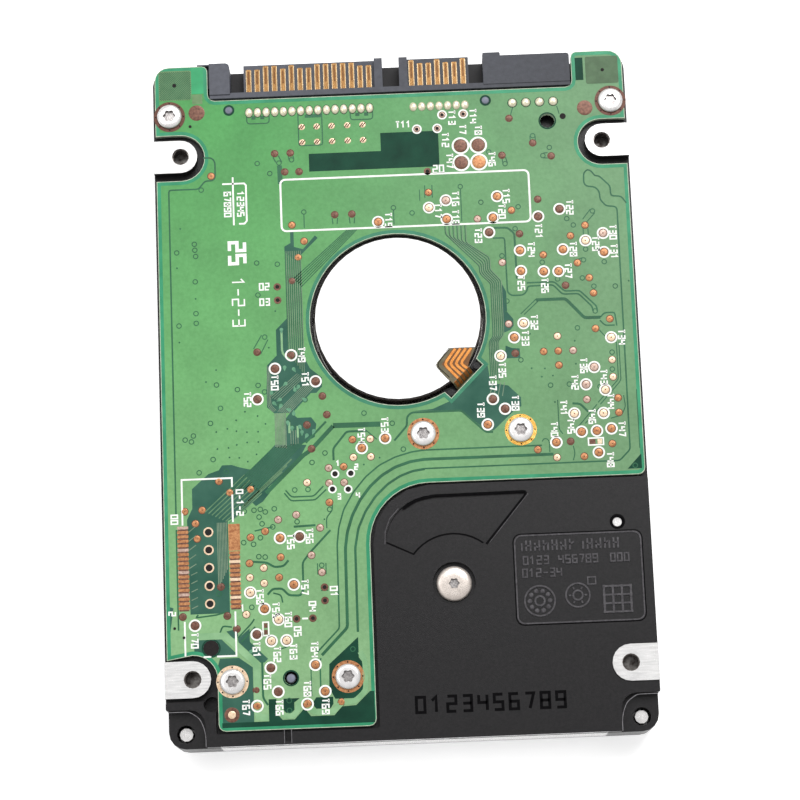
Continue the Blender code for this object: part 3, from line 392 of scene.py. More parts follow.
LOOKS = build_looks()
NODE_LOOKS = {
    "casting": "base_casting",
    "bracket": "motor_bracket",
    "mask": "circuit_board",
    "housing": "sata_housing",
    "motor_face": "motor_label",
    "label": "cover_label",
    "sheet": "top_cover",
    "film": "motor_flex head_flex",
    "rubber": "cover_gasket crash_stop",
    "foam": "board_foam",
    "felt": "breather_filter recirculation_filter",
    "hub": "disc_hub platter_spacer disc_clamp",
    "disc": "lower_platter upper_platter",
    "screw_face": "cover_screw_1 cover_screw_2 latch_pin",
    "steel": "pivot_screw spindle_shaft clamp_screw pivot_sleeve",
    "plated": "lower_yoke upper_yoke pivot_shaft",
    "pivot": "e_block",
    "copper": "stator_winding voice_coil",
    "lamella": "stator_core",
    "magnet": "lower_magnet upper_magnet rotor_magnet",
    "bronze": "bearing_sleeve",
    "black_resin": "controller_chip motor_driver_chip latch_lever",
    "pad_gold": "jumper_pins",
    "ivory_resin": "board_connector head_connector load_ramp",
}
NODE_LOOKS["steel"] += "".join(f" cover_screw_{i}" for i in range(3, 7))
NODE_LOOKS["steel"] += "".join(f" head_suspension_{i}" for i in range(1, 5))
for look_name, node_names in NODE_LOOKS.items():
    for node_name in node_names.split():
        NODES[node_name].data.materials.clear()
        NODES[node_name].data.materials.append(LOOKS[look_name])


# ---------------------------------------------------------------- solids, in mm


def arc(centre, radius, start, end, steps):
    angles = [math.radians(start + (end - start) * i / steps) for i in range(steps + 1)]
    return [(centre[0] + radius * math.cos(a), centre[1] + radius * math.sin(a)) for a in angles]


def circle(centre, radius, steps=20):
    return arc(centre, radius, 0, 360, steps)[:-1]


def box_outline(left, right, bottom, top, radius=0.0, steps=4):
    if not radius:
        return [(left, bottom), (right, bottom), (right, top), (left, top)]
    corners = ((right - radius, top - radius), (left + radius, top - radius),
               (left + radius, bottom + radius), (right - radius, bottom + radius))
    return [p for i, c in enumerate(corners) for p in arc(c, radius, 90 * i, 90 * i + 90, steps)]


def bridge(bm, rings, slot, closed=True):
    """Quads between neighbouring rings of vertices."""
    for lower, upper in zip(rings, rings[1:]):
        count = len(lower)
        for i in range(count if closed else count - 1):
            j = (i + 1) % count
            bm.faces.new((lower[i], lower[j], upper[j], upper[i])).material_index = slot


def ring_of(bm, outline, z):
    return [bm.verts.new((x * MM, y * MM, z * MM)) for x, y in outline]


def slab(bm, outline, low, high, slot=0):
    """A closed plate over a counter-clockwise outline."""
    bottom, top = ring_of(bm, outline, low), ring_of(bm, outline, high)
    bridge(bm, (bottom, top), slot)
    bm.faces.new(bottom[::-1]).material_index = slot
    bm.faces.new(top).material_index = slot


def band(bm, outer, inner, low, high, slot=0):
    """A closed plate between two outlines with as many points each."""
    places = ((outer, low), (outer, high), (inner, high), (inner, low))
    rings = [ring_of(bm, outline, height) for outline, height in places]
    bridge(bm, rings + rings[:1], slot)


def annulus(bm, centre, inner, outer, low, high, slot=0, steps=20):
    band(bm, circle(centre, outer, steps), circle(centre, inner, steps), low, high, slot)


def offset(points, distance, closed):
    """The line moved to its left, with mitred corners."""
    moved = []
    count = len(points)
    for i, here in enumerate(points):
        before = points[i - 1] if closed or i else None
        after = points[(i + 1) % count] if closed or i < count - 1 else None
        sides = []
        for start, end in ((before, here), (here, after)):
            if start is not None and end is not None:
                along = (Vector(end) - Vector(start)).normalized()
                sides.append(Vector((-along.y, along.x)))
        out = sides[0] + sides[-1]
        out = out.normalized() if out.length > 0.2 else sides[0]
        reach = distance / max(out.dot(sides[0]), 0.5)
        moved.append((here[0] + out.x * reach, here[1] + out.y * reach))
    return moved


def stroke(bm, points, width, low, high, slot=0, closed=False):
    """A line of constant width as a closed plate."""
    left, right = offset(points, width / 2, closed), offset(points, -width / 2, closed)
    if closed:
        band(bm, right, left, low, high, slot)
        return
    rings = [ring_of(bm, side, z) for side, z in ((right, low), (right, high), (left, high), (left, low))]
    bridge(bm, rings + rings[:1], slot, closed=False)
    bm.faces.new([ring[0] for ring in rings]).material_index = slot
    bm.faces.new([ring[-1] for ring in rings[::-1]]).material_index = slot


def dome(bm, centre, across, along, low, high, slot=0, steps=14, flat=0.25):
    """A rounded blob, such as solder, standing on a plate."""
    rings = []
    for share in (0.0, 0.35, 0.7, 0.92):
        reach = math.sqrt(1 - share * share)
        reach = flat + (1 - flat) * reach if share else 1.0
        outline = [(centre[0] + x * across * reach, centre[1] + y * along * reach)
                   for x, y in circle((0, 0), 1, steps)]
        rings.append(ring_of(bm, outline, low + (high - low) * share))
    bridge(bm, rings, slot)
    bm.faces.new(rings[0][::-1]).material_index = slot
    peak = bm.verts.new((centre[0] * MM, centre[1] * MM, high * MM))
    last = rings[-1]
    for i, vert in enumerate(last):
        bm.faces.new((vert, last[(i + 1) % len(last)], peak)).material_index = slot


def piece(name, bm, looks, body="base", smooth=30):
    """One named object from a finished bmesh."""
    bmesh.ops.recalc_face_normals(bm, faces=bm.faces)
    mesh = bpy.data.meshes.new(name)
    bm.to_mesh(mesh)
    bm.free()
    for look in looks.split():
        mesh.materials.append(LOOKS[look])
    made = bpy.data.objects.new(name, mesh)
    bpy.context.scene.collection.objects.link(made)
    mesh.shade_smooth()
    mesh.set_sharp_from_angle(angle=math.radians(smooth))
    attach(made, body)
    return made


def top_loops(node, z):
    """Closed outlines of a node's flat top, in mm, with the material on their left."""
    bm = bmesh.new()
    bm.from_mesh(NODES[node].data)
    bmesh.ops.remove_doubles(bm, verts=bm.verts, dist=1e-7)
    follow = {}
    for face in bm.faces:
        if face.normal.z > 0.99 and abs(face.calc_center_median().z - z * MM) < 1e-5:
            for loop in face.loops:
                tops = [f for f in loop.edge.link_faces if f.normal.z > 0.99]
                if len(tops) == 1:
                    follow[loop.vert.index] = loop.link_loop_next.vert.index
    places = {v.index: (v.co.x / MM, v.co.y / MM) for v in bm.verts}
    bm.free()
    loops = []
    while follow:
        start = next(iter(follow))
        loop, here = [], start
        while here in follow:
            loop.append(places[here])
            here = follow.pop(here)
        loops.append(loop)
    return loops


# ---------------------------------------------------------------- print on the board


GLYPHS = {
    "0": ("0004242000",), "1": ("031410",), "2": ("042422020020",), "3": ("04242000", "0222"),
    "4": ("040222", "2420"), "5": ("240402222000",), "6": ("240400202202",), "7": ("042410",),
    "8": ("0004242000", "0222"), "9": ("002024040222",), "T": ("0424", "1410"), "-": ("0222",),
}


def write(bm, text, centre, angle=-90, size=1.1, weight=0.21, slot=0, base=BOARD, rise=SILK, spread=1.0):
    """Plain numbers in strokes, centred on a point, size high."""
    turn = Matrix.Rotation(math.radians(angle), 2)
    step = size * 0.72 * spread
    for place, glyph in enumerate(text):
        for line in GLYPHS[glyph]:
            points = []
            for i in range(0, len(line), 2):
                x = (place - (len(text) - 1) / 2) * step + (int(line[i]) / 2 - 0.5) * size * 0.45
                y = (int(line[i + 1]) / 4 - 0.5) * size * 0.82
                spot = turn @ Vector((x, y))
                points.append((centre[0] + spot.x, centre[1] + spot.y))
            loop = points[0] == points[-1]
            stroke(bm, points[:-1] if loop else points, weight, base, base + rise, slot, closed=loop)


# tone, then x, y of the pad and x, y of its number
RINGED = """
k 3.9 39.1 1.9 39.9, k 6.9 39.1 8 37.3, k 7.7 41.15 9.1 40.7, k 10.8 41.15 12.2 40.8, o 15.2 28.4 16.5 28.4,
p 7.7 28.1 9.1 28.3, c 5.2 27.1 6.5 26.6, o 7.7 25.25 9 25.5, o -2.3 25.25 -0.8 25.5, o 14.45 25.2 15.8 26.1,
b 21.05 25.1 21 22.9, b 24.2 26.1 25.7 26.3, b 13.8 23 12.2 22.6, o 18.15 20.1 19.8 20.2,
o 18.15 17 18.1 15.2, o 21.45 16.8 21.5 14.7, o 23.6 16.75 25 16.8, o 24.4 20 25.9 20, c 27.75 21.2 29.2 20.7,
p 30.35 22.2 31.8 22.3, o 30.35 19.35 31.8 19.4, c 18.15 9.2 19.7 9.3, o 16.7 7.15 18.3 7,
c 30.7 6.6 32.2 6.6, c 14.6 4.5 14.75 2.4, p 28 2.3 26.5 2.6, b 13.2 -1.8 13.3 0.6, b 14.9 -3.3 16.4 -2.5,
o 12.3 -5.5 11.4 -3.3, o 22 -8.5 21.8 -6.6, c 24.8 -4.4 23.3 -3.5, p 26.7 -0.2 25.1 0.2,
c 29.45 -1.1 29.3 0.8, c 29 -4.5 30.1 -2.8, o 25.7 -7.1 24.2 -6.2, o 27.9 -7.05 27.3 -4.9,
o 30 -6.8 31.5 -6.9, o 28 -10.2 29.6 -11.3, b -15.6 5.85 -14.1 5.9, b -18 3.95 -18.1 1.9,
b -12.2 1.85 -13.7 2.2, b -20.65 -0.45 -22.1 -0.4, o -2.5 -6.9 -2.5 -4.9, o -5.9 -8.2 -5.9 -6.3,
o -18 -20.75 -16.5 -21.3, b -15.2 -20.65 -13.8 -20.6, o -16.25 -27.5 -14.7 -27.9, c -22.45 -28.4 -21.1 -29,
o -20.5 -30.8 -18.9 -31, c -18.55 -32.4 -17.2 -32.4, b -21.7 -34.4 -21.8 -36.5, c -19.65 -35.4 -18.9 -37.3,
c -17.5 -35.4 -16.6 -37, o -13.55 -39 -13.6 -36.8, b -19.85 -39.2 -20.4 -41.1, b -18.9 -42.6 -18.8 -44.8,
o -21.9 -44.5 -23.5 -44.6, o -14.85 -44.5 -14.8 -42.3, o -12.3 -42.8 -12.3 -44.9, b -30.4 -32.8 -30.5 -34.9
"""
# tone and centre of bare test pads without a ring
PLAIN = """
o 5.2 29.4, p 12.2 25.1, o 17.2 26.2, b 18.2 22.6, p 15.5 18.4, o 21.5 19.3, o 25.6 22, o 27.8 23.5,
o 26.4 17.9, o 28 15.6, b 24.5 14.6, o 28.5 13.3, p 16 9.2, o 28.5 8, o 30.65 9.35, c 22.95 7.1, o 20.85 4.9,
o 22.95 4.9, p 25.1 4.9, o 22.95 2.8, b 16.75 4.8, c 30.65 3.3, c 30.65 0.75, o 31.2 -2.35, o 31.2 -4.5,
p 26.7 -2.4, b 24.05 -8.45, o 19.3 -9.45, c 22 -10.7, o 25.9 -10.7, o 30 -9, b -17.1 36.25, b -14.8 36.25,
b -15.7 33.4, b -13.6 33.35, o -26.5 33.2, b 17.5 40.2, b 20.8 36.3, b 23.4 34.2, b 16.2 34.6, b 21.1 27.7,
b -8.6 26.6, b -6.1 26.6, o -13.2 22.8, o -14.15 20.4, b -20.5 6.5, o -14.9 25.3, o -31.5 -16.4, o -29 -16.3,
o -26.5 -12.2, o -25 -13.9, o -22 -13.55, o -30 -18.2, o -29.8 -20.4, o -22.2 -20.5, o -20.1 -19.7,
b -13.65 -4.5, b -11.3 -0.35, b -10.75 -3.1, c -13.9 -12.9, p -15.6 -17.5, p -18.2 -18.1, o -18 -23.5,
p -12.25 -19.5, p -13.6 -23.4, o -7.2 -6.9, c -4.65 -6.9, c -7.15 -9.5, c -4.65 -9.5, p -10.75 -10.9,
o -8.6 -10.8, p -10.75 -13.1, p -8.6 -13.1, o -10.8 -15.9, b -13.1 -8, o -22.45 -24.2, c -20.45 -24.95,
c -22.45 -26.25, c -20.45 -27.15, o -18.3 -26.4, c -23.1 -31.5, p -12.2 -25.9, b -26.6 -27.4, b -25.8 -31.6,
b -32.1 -31.5, b -24.5 -33.5, b -21.95 -42.25, o -10.05 -44.4, b -15.15 16.9
"""
# small rings round plated holes under the mask
VIAS = """
-19.7 34.85, -17.9 33.25, -28 31.15, -16.5 34.8, -14.65 35.2, 9.9 30.1, 12.8 27.6, 0 27.3, 2.7 26.4,
-13.1 27.2, 20.85 37.4, 23.2 35.5, 22.2 34.3, 16.6 33.3, 14.3 35.2, 18.2 26.7, -31.8 21.8, -29.2 23,
-29.15 22.1, -29.05 21.15, -29.2 17.35, -29.2 12.6, -29.2 11.15, -31.7 10.85, -20.2 19.8, -17.2 19.5,
-20.15 15, -19.35 8.7, -26.5 1.9, -23.5 1.1, -26 -1.55, -27.5 -3.7, -31.2 -6, -30 -5.45, -30.3 -6.3,
-27.25 -9, -29.3 -10.85, -20.5 1.6, -19.6 0.6, -18.4 0.4, -17.4 -1.4, -16.1 -1.9, -14.9 1.1, -13.8 -0.8,
-16.4 -3.9, -15.8 -4.8, -14.8 -5.7, -13.1 -10, -11.2 -8.7, -15.7 -13.9, -15.5 -18.5, -13.8 -13.9, -23 -16.7,
-21.6 -16.6, -20.7 -16.5, -20 -16.9, -18.7 -16.5, -20.9 -17.6, -20.5 -18.6, -20.8 -20.6, -19 -19.1,
-23.2 -21.2, -21.8 -21.5, -21.1 -23.3, -20.2 -23.4, -5.4 -3.1, -1.4 -4.75, 0.05 -8.6, -10.8 -16.9, 17.5 3.8,
21.6 -0.1, 24.3 -0.05, 33.1 -12.3, 29 25.6, 25.2 24.6, 26.1 23.6, 27.7 19.9, 27.3 18.3, 30.3 17.9, 15.5 19.4,
21.3 18.2, 27 15.6, 28.6 14.3, 23.4 15.6, 31.7 14.2, 25.9 8.2, 15.9 12.6, 28.6 10.6, 30.7 4.4, 30.6 1.9,
17.6 23.4, 28.7 -0.6, -24.6 -12.6, -25.4 -10.8, -12.2 -24.9, -26.9 -28.4, -17.4 -43.9, -17.4 -45.3, -8.2 -37,
-22.3 -30.5
"""
# pinholes: tiny dimples in the mask
PINHOLES = """
-31.8 19.5, -29.2 14.8, -31.7 8.4, -17.7 12.5, -18.8 7.1, -26.5 4.1, -28 2.4, -22.5 -2.2, -20.7 -2.9,
-23.8 -3.4, -19.6 -4.1, -25.1 -4.6, -26.7 -5, -23.8 -5, -22.3 -5.2, -20.7 -5.2, -22.3 -6.7, -20.7 -6.7,
-23.8 -7, -25 -7.4, -26.6 -7.5, -21 -8.5, -23.5 -8.9, -24.9 -8.8, -22.3 -9.5, -31.2 25.4, -3.4 -9.7,
-5.7 -10.6, -11.6 -18.3, 19 7.6, 25.4 6.3, 25.4 2.9, 20.9 2.4, 19 2.5, 20.4 1.2, 22 1.3, 22.1 -2.6, 33.7 14.9,
15.7 11
"""
# dark gaps in the copper: width: x y, x y, ...
GAPS = """
0.22: -27.6 36, -26.4 36, -25.9 35.4, -25.9 32.9, -26.3 32.5, -27.4 32.5, -28.4 31.3, -32.75 31.3,\
 -32.75 -17
0.22: -32.75 -19, -32.75 -33.4
0.16: -21.05 42.2, -21.05 41.2, -20.8 40.95, -18 40.95, -17.75 41.2, -17.75 42.2
0.16: -5.8 42.2, -5.8 41.2, -5.55 40.95, -2.75 40.95, -2.5 41.2, -2.5 42.2
0.16: -13.5 42.2, -13.5 37.3, -10 37.3, -10 42.2
0.5: -20.35 41.85, -19.75 41.85
0.5: -19.05 41.85, -18.45 41.85
0.5: -5.05 41.75, -4.45 41.75
0.5: -3.75 41.75, -3.15 41.75
0.5: -12.5 41.8, -10.1 41.8
0.7: -16.45 34.4, -16.4 31.6
0.16: -17.35 35.7, -16.95 34.9
0.16: -16.55 35.9, -16.1 34.9
0.14: -15.1 35.8, -15 35.2
0.14: -14.4 35.8, -14.3 35.2
0.14: 18.1 41.8, 17.75 40.7
0.14: 24.6 41.8, 24.9 40.6
0.14: 20.45 36.6, 20.45 37.4
0.14: 21.2 36.6, 21.2 37.4
0.14: 16.2 34.1, 16.3 33.3
0.14: 16.7 34.3, 16.95 33.4
0.14: 22.9 33.9, 22.2 33.95
0.14: 22.9 34.7, 22.3 34.7
0.22: 34 26.6, 33.3 27.65, 31.8 27.8, 31.75 29.3, 30.2 30.9, 29.6 30.9, 29.2 31.6, 28.6 31.95, 28 31.4,\
 27.95 29.9, 28.3 29.4, 29.6 29.2, 30.15 28.5, 30.2 27.3, 31 26.3, 32.3 26.15, 32.6 25.8, 32.5 -9.95,\
 30.95 -11.5, 3 -11.55
0.14: 4.7 30.5, 4.65 28.6
0.14: 5.75 30.5, 5.75 28.6
0.12: 3.9 29.9, 3.9 28.2
0.14: 9.9 29.7, 9.9 24.8
0.14: 0 26.9, 0 24.8
0.14: -13.1 26.8, -13.1 24.8
0.14: -9 26.1, -8.9 25.2
0.14: -8.2 26.1, -8.3 25.2
0.14: -6.5 26.1, -6.4 25.2
0.14: -5.7 26.1, -5.8 25.2
0.28: 14.5 23.65, 16.5 23.6, 17.45 22.7, 17.5 15.9
0.22: 14.3 22.1, 16 22.1, 16.05 13.9, 16.6 13.4, 18.3 13.4, 18.9 14, 19 14.7, 22.7 14.75, 24 13.3,\
 26.3 13.3, 28.2 11.3, 28.3 10.6
0.22: 18.9 15.2, 22.9 15.2, 24.3 13.75, 26.5 13.75, 28.85 11.3, 28.9 10.6
0.14: 17.8 10.6, 20.1 12.7
0.14: 18.3 10.5, 20.4 12.4
0.45: 20.1 12.6, 24.4 12.6, 27 9.65, 29.3 9.65
0.2: 29.3 9.65, 29.9 10.3, 31.4 10.3, 31.6 8.3
0.2: 29.2 9.2, 29.9 8.4, 31.3 8.4
0.14: 27.5 24.4, 28.7 25.9
0.14: 28.1 24, 29.3 25.3
0.14: 27.5 23, 27.5 22
0.14: 28.2 23, 28.2 22
0.14: 26.4 18.4, 27.1 18.6
0.14: 29 7.8, 30 6.6
0.14: -19.8 9, -21 7
0.14: -18.9 8.3, -20 6.2
0.14: 31.4 5.9, 31.4 0.4, 28.3 -2.9
0.14: 31.75 5.9, 31.75 0.2, 28.6 -3.2
0.14: 28.1 -3.2, 25.3 -6.3
0.14: 28.4 -3.7, 26.3 -5.9
0.3: 24.6 -2.9, 25.7 -3, 26.8 -4.2
0.14: 22.5 -2.3, 22.5 -6.6, 23 -7.3
0.14: 20 -8.3, 20.2 -7.9, 20.7 -7.9, 21 -8.3, 21 -9.9
0.14: 24.4 -9.1, 24.6 -10.2, 24.3 -11.2
0.14: 30 -5.3, 31.6 -4.9, 32.2 -3.6, 32 -2
0.14: 33.9 -1.2, 33.9 -9.8
0.22: 19.9 -8.85, 3 -8.85, 1.2 -9.05, -1.2 -9.7, -3.5 -10.8, -5.5 -12.4, -7.3 -14.5, -8.8 -17, -9.6 -19.6,\
 -9.9 -22, -10 -34, -13.3 -37.3
0.42: 21.5 -10.2, 3 -10.2, 1 -10.45, -1.2 -11.15, -3.2 -12.3, -4.9 -13.8, -6.4 -15.7, -7.6 -17.9,\
 -8.4 -20.3, -8.75 -22.6, -8.85 -33.9, -12.6 -37.7
0.34: 3 -11.6, 1.2 -11.85, -0.6 -12.5, -2.4 -13.6, -4.2 -15.3, -5.7 -17.4, -6.8 -19.8, -7.35 -22.6,\
 -7.4 -34.6
0.75: -9.9 -4.75, -3.1 -4.8
0.3: -5.1 -5.7, -8 -5.7, -10 -8.1, -10 -9.8
0.14: -5.1 -5.7, -3.7 -7
0.28: -1.2 -7.3, 0.7 -5.2, 0.75 -3.9, 1.4 -3.3, 8.6 -3.3, 12 -6.6, 13 -6.6
0.6: -9.9 -4.8, -13.2 -8.2, -14.3 -8.9, -19.8 -14.2
0.3: -10.9 -4.1, -13.9 -7.1
0.2: -17 -13.9, -16.2 -14.9, -13 -14.9, -11.6 -13.5
0.2: -17.2 -14.3, -16.3 -15.45, -12.8 -15.45, -11.2 -14
0.3: -16 -19.2, -12.9 -19.1
0.28: -10.8 -19.9, -13.9 -23.1, -14.9 -24.4, -14.9 -27.3
0.16: -10.4 -15.9, -10.4 -17, -11.3 -18.1, -11.3 -19.6
0.2: -19 -19.1, -21.6 -19.6
0.3: -22 -24, -20 -24.2, -18.9 -24.9, -17.6 -24.8, -16.9 -24
0.3: -20 -28.8, -19.3 -28, -17.9 -28, -17 -29, -15.3 -29.1, -14.9 -28.2
0.2: -19.2 -28.6, -18.1 -28.9, -17.9 -30
0.22: -24.4 -34.8, -22.4 -32.8, -22 -32.2
0.22: -23.9 -35.4, -21.9 -33.3
0.22: -26.9 -34, -26.5 -33, -25.2 -33.2
0.22: -29.9 -31.3, -30.3 -31.7, -27.3 -31.4, -25.8 -31
0.16: -18.4 -36.6, -17.1 -36.2, -16.6 -35.4
0.3: -21.05 -38.3, -21.05 -43.4, -20.4 -44.4
0.2: -12.75 -38.1, -12.9 -38.6, -12.9 -43
0.14: -14.2 -38.6, -14.2 -43.4
0.14: -12.4 -28.5, -11.4 -28.5
0.14: -11.6 -24.6, -11.6 -26.2
0.14: -12.8 -24.6, -12.8 -26.2
"""
# areas without copper: mask directly on the board
BARE = """
-15.2 24.3, -14.7 24.3, -14.7 22, -13.4 21.6, -11.6 23.6, -11.2 23.2, -14.6 19.9, -16.1 21.3, -16.1 22.1,\
 -15.2 22.6
-16 11.4, -17.4 10, -17.7 9.7, -17.7 5.9, -19.1 4.5, -19.3 1, -19.3 -1.7, -18.3 -2.6, -15.6 -2.6,\
 -12.95 0.15, -12.15 0.15, -11.3 1.05, -11.3 2.4, -12.95 3.8, -14 6, -16 6
-15 -3.4, -13 -3.4, -12.3 -4.4, -12.6 -6.3, -13.8 -6.9, -15.2 -7.7, -16.8 -7.7, -16.8 -3.6, -15.9 -2.5
-18.3 -7.2, -21.8 -10.7, -22.3 -10.6, -23.8 -10.2, -24.6 -9.9, -26 -9.9, -26.5 -10.6, -28 -11.1,\
 -30.4 -13.2, -30.4 -16, -31.2 -17.6, -31 -31.2, -25.4 -31.2, -25.4 -18, -23.9 -17.3, -22.6 -16, -15 -9.6,\
 -13.8 -7.4
-20.3 -15.4, -21.3 -16, -21.9 -15.4, -19.5 -13.2, -19.3 -14.2
4.5 -2.9, 1.6 -3.1, 8.6 -3.2, 12.1 -6.4, 13.1 -6.4, 16.2 -3.6, 17.25 -3, 17.25 -1.7, 15.5 0.1, 13 0.6,\
 12.6 3.7, 6.9 -1.9
15.4 6, 15.3 5, 15.5 4.1, 17.45 4.1, 17.4 5.5, 16.3 5.6
15.2 15.4, 15.2 7.9, 16.2 8.3, 16.7 8.9, 16.7 9.9, 15.85 11, 15.85 14
-34 -30, -33.4 -30.2, -33.9 -33.6
-30.6 -34.9, -30.6 -36.6, -29.3 -37.3, -24.7 -37.3, -24.7 -36.9, -26.7 -34.9
-26 -33.8, -25 -34.9, -24.3 -34.5, -24.5 -33.5
-24.4 -34.9, -24.3 -35.4, -21.3 -38.4, -20.7 -38.4, -20.2 -37.9, -21 -37.1, -22.7 -35.4, -22.7 -33.5
-27 -37.6, -27.4 -39, -27.2 -46.8, -22.4 -46.8, -22.4 -39, -24.3 -37.6
"""
DARK = """
-12.1 33.3, 7 33.3, 7 38.75, -1.5 38.75, -1.5 36, -12.1 36
-7.4 -35.3, -11.6 -39, -11.7 -42.4, -10.9 -43.9, -7.9 -43.9, -6.9 -42.6, -6.9 -38.9, -7.4 -38.2
-20.3 -43.6, -19.2 -43.6, -19.2 -45.6, -18.4 -46.55, -16.7 -46.55, -15.7 -45.5, -15.3 -45, -14.4 -46.2,\
 -11.1 -46.2, -10 -45, -8 -44.9, -6 -43, -5.4 -43, -5.4 -47.4, -26.9 -47.4, -26.9 -46.7, -20.3 -46.7
-18.2 -43.6, -15.9 -43.6, -16.7 -44.2, -16.7 -45.2, -17.1 -45.6, -17.9 -45.6, -18.2 -45.2
-13.6 -43.6, -11.2 -43.6, -11.2 -44.6, -11.6 -45.2, -13.6 -45.2, -14.2 -44.5
27.6 45.65, 28.75 45.65, 28.75 49.1, 27.6 49.1
32 -12.75, 34.05 -12.75, 34.05 -10.6
"""
# light lines of copper: width: points
TRACES = """
0.95: -30.2 -34.4, -26.3 -34.4, -25.4 -35.1, -21.85 -38.6, -21.85 -46.1, -20.4 -46.2
0.75: -18.7 -44.2, -18.7 -45.4, -18.1 -46.1, -16.9 -46.1, -16.2 -45.4, -16.2 -44.4, -15.4 -43.9
0.75: -14.9 -44.6, -14 -45.7, -11.2 -45.7, -10.4 -44.9, -9.9 -44.4
0.75: -10.4 -44.4, -8.2 -44.4, -6.55 -42.9, -6.55 -38.6, -7.2 -37.4
0.3: -16.2 -5.6, -16.2 -4
0.3: -15 -6.3, -15 -4.6
0.3: -16.9 9.9, -16.9 6.1, -15.6 5
"""
# runs of parallel lines: count width tone, then start and end of the first line, of the last line
BUNDLES = """
8 0.15 g: -16 21.4, -16 6.2 / -13.9 21.4, -13.9 2.8
8 0.08 l: -15.87 21.4, -15.87 6.2 / -13.77 21.4, -13.77 2.8
6 0.13 g: -6.8 24.3, -14.9 17.2 / -5.4 24.3, -13.8 16
9 0.12 l: -18.2 -2.6, -18.2 -7.6 / -16.7 -2.6, -16.7 -7.8
4 0.1 l: -16 -5.2, -16 -7.4 / -15 -5.2, -15 -7.2
11 0.12 g: -18.6 -7.6, -24.8 -13.4 / -14.2 -7, -21 -13.8
7 0.12 l: -26.9 -18.2, -26.9 -27.6 / -25.6 -18.2, -25.6 -25
5 0.09 l: -14.8 3.1, -16.2 1.9, -18.9 -0.3 / -13.8 2.6, -15.6 1, -17.6 -0.8
7 0.09 l: -13.7 1.6, -17.8 -2.4 / -12.5 1, -16.2 -2.7
3 0.1 l: -19.15 4.4, -19.15 -1.6, -18.4 -2.4 / -18.75 4, -18.75 -1.4, -18 -2.2
6 0.13 g: 7.4 24.2, 7.4 23, 12.15 18, 12.15 16.9, 13.65 15.3, 13.65 7.4, 13.05 6.7, 13.05 1.2 / 10.3 24.2,\
 10.3 21.6, 13.6 19.2, 13.6 17.4, 15.1 15.7, 15.1 7.6, 14.3 6.7, 14.3 0.9
6 0.07 l: 7.55 24.2, 7.55 23, 12.28 18, 12.28 16.9, 13.78 15.3, 13.78 7.4, 13.18 6.7,\
 13.18 1.2 / 10.45 24.2, 10.45 21.6, 13.75 19.2, 13.75 17.4, 15.25 15.7, 15.25 7.6, 14.45 6.7, 14.45 0.9
3 0.2 f: -22.4 -15.2, -16 -9.4 / -23.6 -16.6, -17.4 -11.2
8 0.16 f: -22.8 -11.4, -28.6 -16.6 / -20.4 -14.2, -25.2 -18.3
4 0.12 l: 13.3 0.6, 12.6 -2 / 15 0.6, 14.6 -1.4
5 0.12 l: -31 -19.4, -30 -18.6 / -31 -24.6, -30 -24
5 0.12 l: -30.8 -25.6, -29.9 -25.2 / -30.8 -30.4, -29.9 -30
"""
# lands of vias in the bare areas: x, y and the direction of the tail
DROPS = """
-16.6 4.1 -90, -15.3 3.8 -60, -16.5 1.7 -140, -15.2 0.7 100, -18.6 0.4 90, -14.7 1.2 -120, -18.3 -1.1 -45,
-17.4 -0.6 -150, -17.3 -1.5 -120, -16.1 -2.2 160, -15.5 -2.8 90, -13.8 -0.8 150, -16.4 -4 -80, -15.8 -4.8 -90,
-14.7 -4.7 -60, -14.4 -5.5 -90, -13.7 -6 -120, -12.7 -5.4 -110, -16.9 9.7 -90, -22.6 -36.8 45
"""
# white lines of the print: width: points, o for a closed line
LINES = """
0.25: -31.85 -18.4, -31.85 -11.8, -24.65 -11.8, -24.65 -13.1
0.25: -24.65 -14.2, -24.65 -18.2
0.25: -31.85 -32.2, -31.85 -37.1
0.25: -24.65 -31, -24.65 -37.3, -27.4 -37.3
0.25: -28.2 -37.3, -29.3 -37.3
0.2 o: 26.6 -9.1, 28.75 -9.1, 28.75 -8.1, 26.6 -8.1
0.2 o: -20.8 -34.6, -20 -34.6, -20 -32.7, -20.8 -32.7
0.25: -15.2 -32.4, -14.4 -32.4
0.25: -24.9 31.9, -21.7 31.9, -21.45 31.6, -21.45 26.2, -21.8 25.8, -22.6 25.8
0.25: -23.35 32.9, -23.35 25.6
"""
# numbers printed apart from the pads: text x y angle size
NOTES = """
20 6.8 32.9 0 1.3, 02 -19.2 16.2 0 1.15, 03 -19.2 13.9 0 1.15, 01 -10.6 -28.7 -90 1.15,
04 -13.7 -30.7 -90 1.1, 05 -15.9 -34.2 -90 1.1, 0-1-2 -23.6 -15.4 -90 1.1, 00 -33 -17.5 -90 1.1,
2 -33.6 -31 -90 1.1, 1 -23.6 -30.6 0 1.1, 1 -9.4 -10.3 0 0.9, 2 -6.8 -10.9 0 0.9, 3 -9.4 -15.1 0 0.9,
4 -6.7 -15 0 0.9, 12345 -22.3 28.8 -90 1.1, 67890 -24.2 28.8 -90 1.1, 1-2-3 -23 14 -90 2.1
"""


def numbers(text):
    return [float(word) for word in text.replace(",", " ").split()]


def pairs(text):
    flat = numbers(text)
    return list(zip(flat[::2], flat[1::2]))


def entries(text):
    return [part.split() for part in text.replace("\n", " ").split(",") if part.strip()]


def soften(points, reach=0.35):
    """The line with its corners rounded off."""
    soft = [points[0]]
    for before, here, after in zip(points, points[1:], points[2:]):
        here = Vector(here)
        sides = [Vector(p) - here for p in (before, after)]
        start, end = (here + side * min(reach / side.length, 0.45) for side in sides)
        soft += [tuple(start), tuple((start + end) / 4 + here / 2), tuple(end)]
    return soft + [points[-1]]


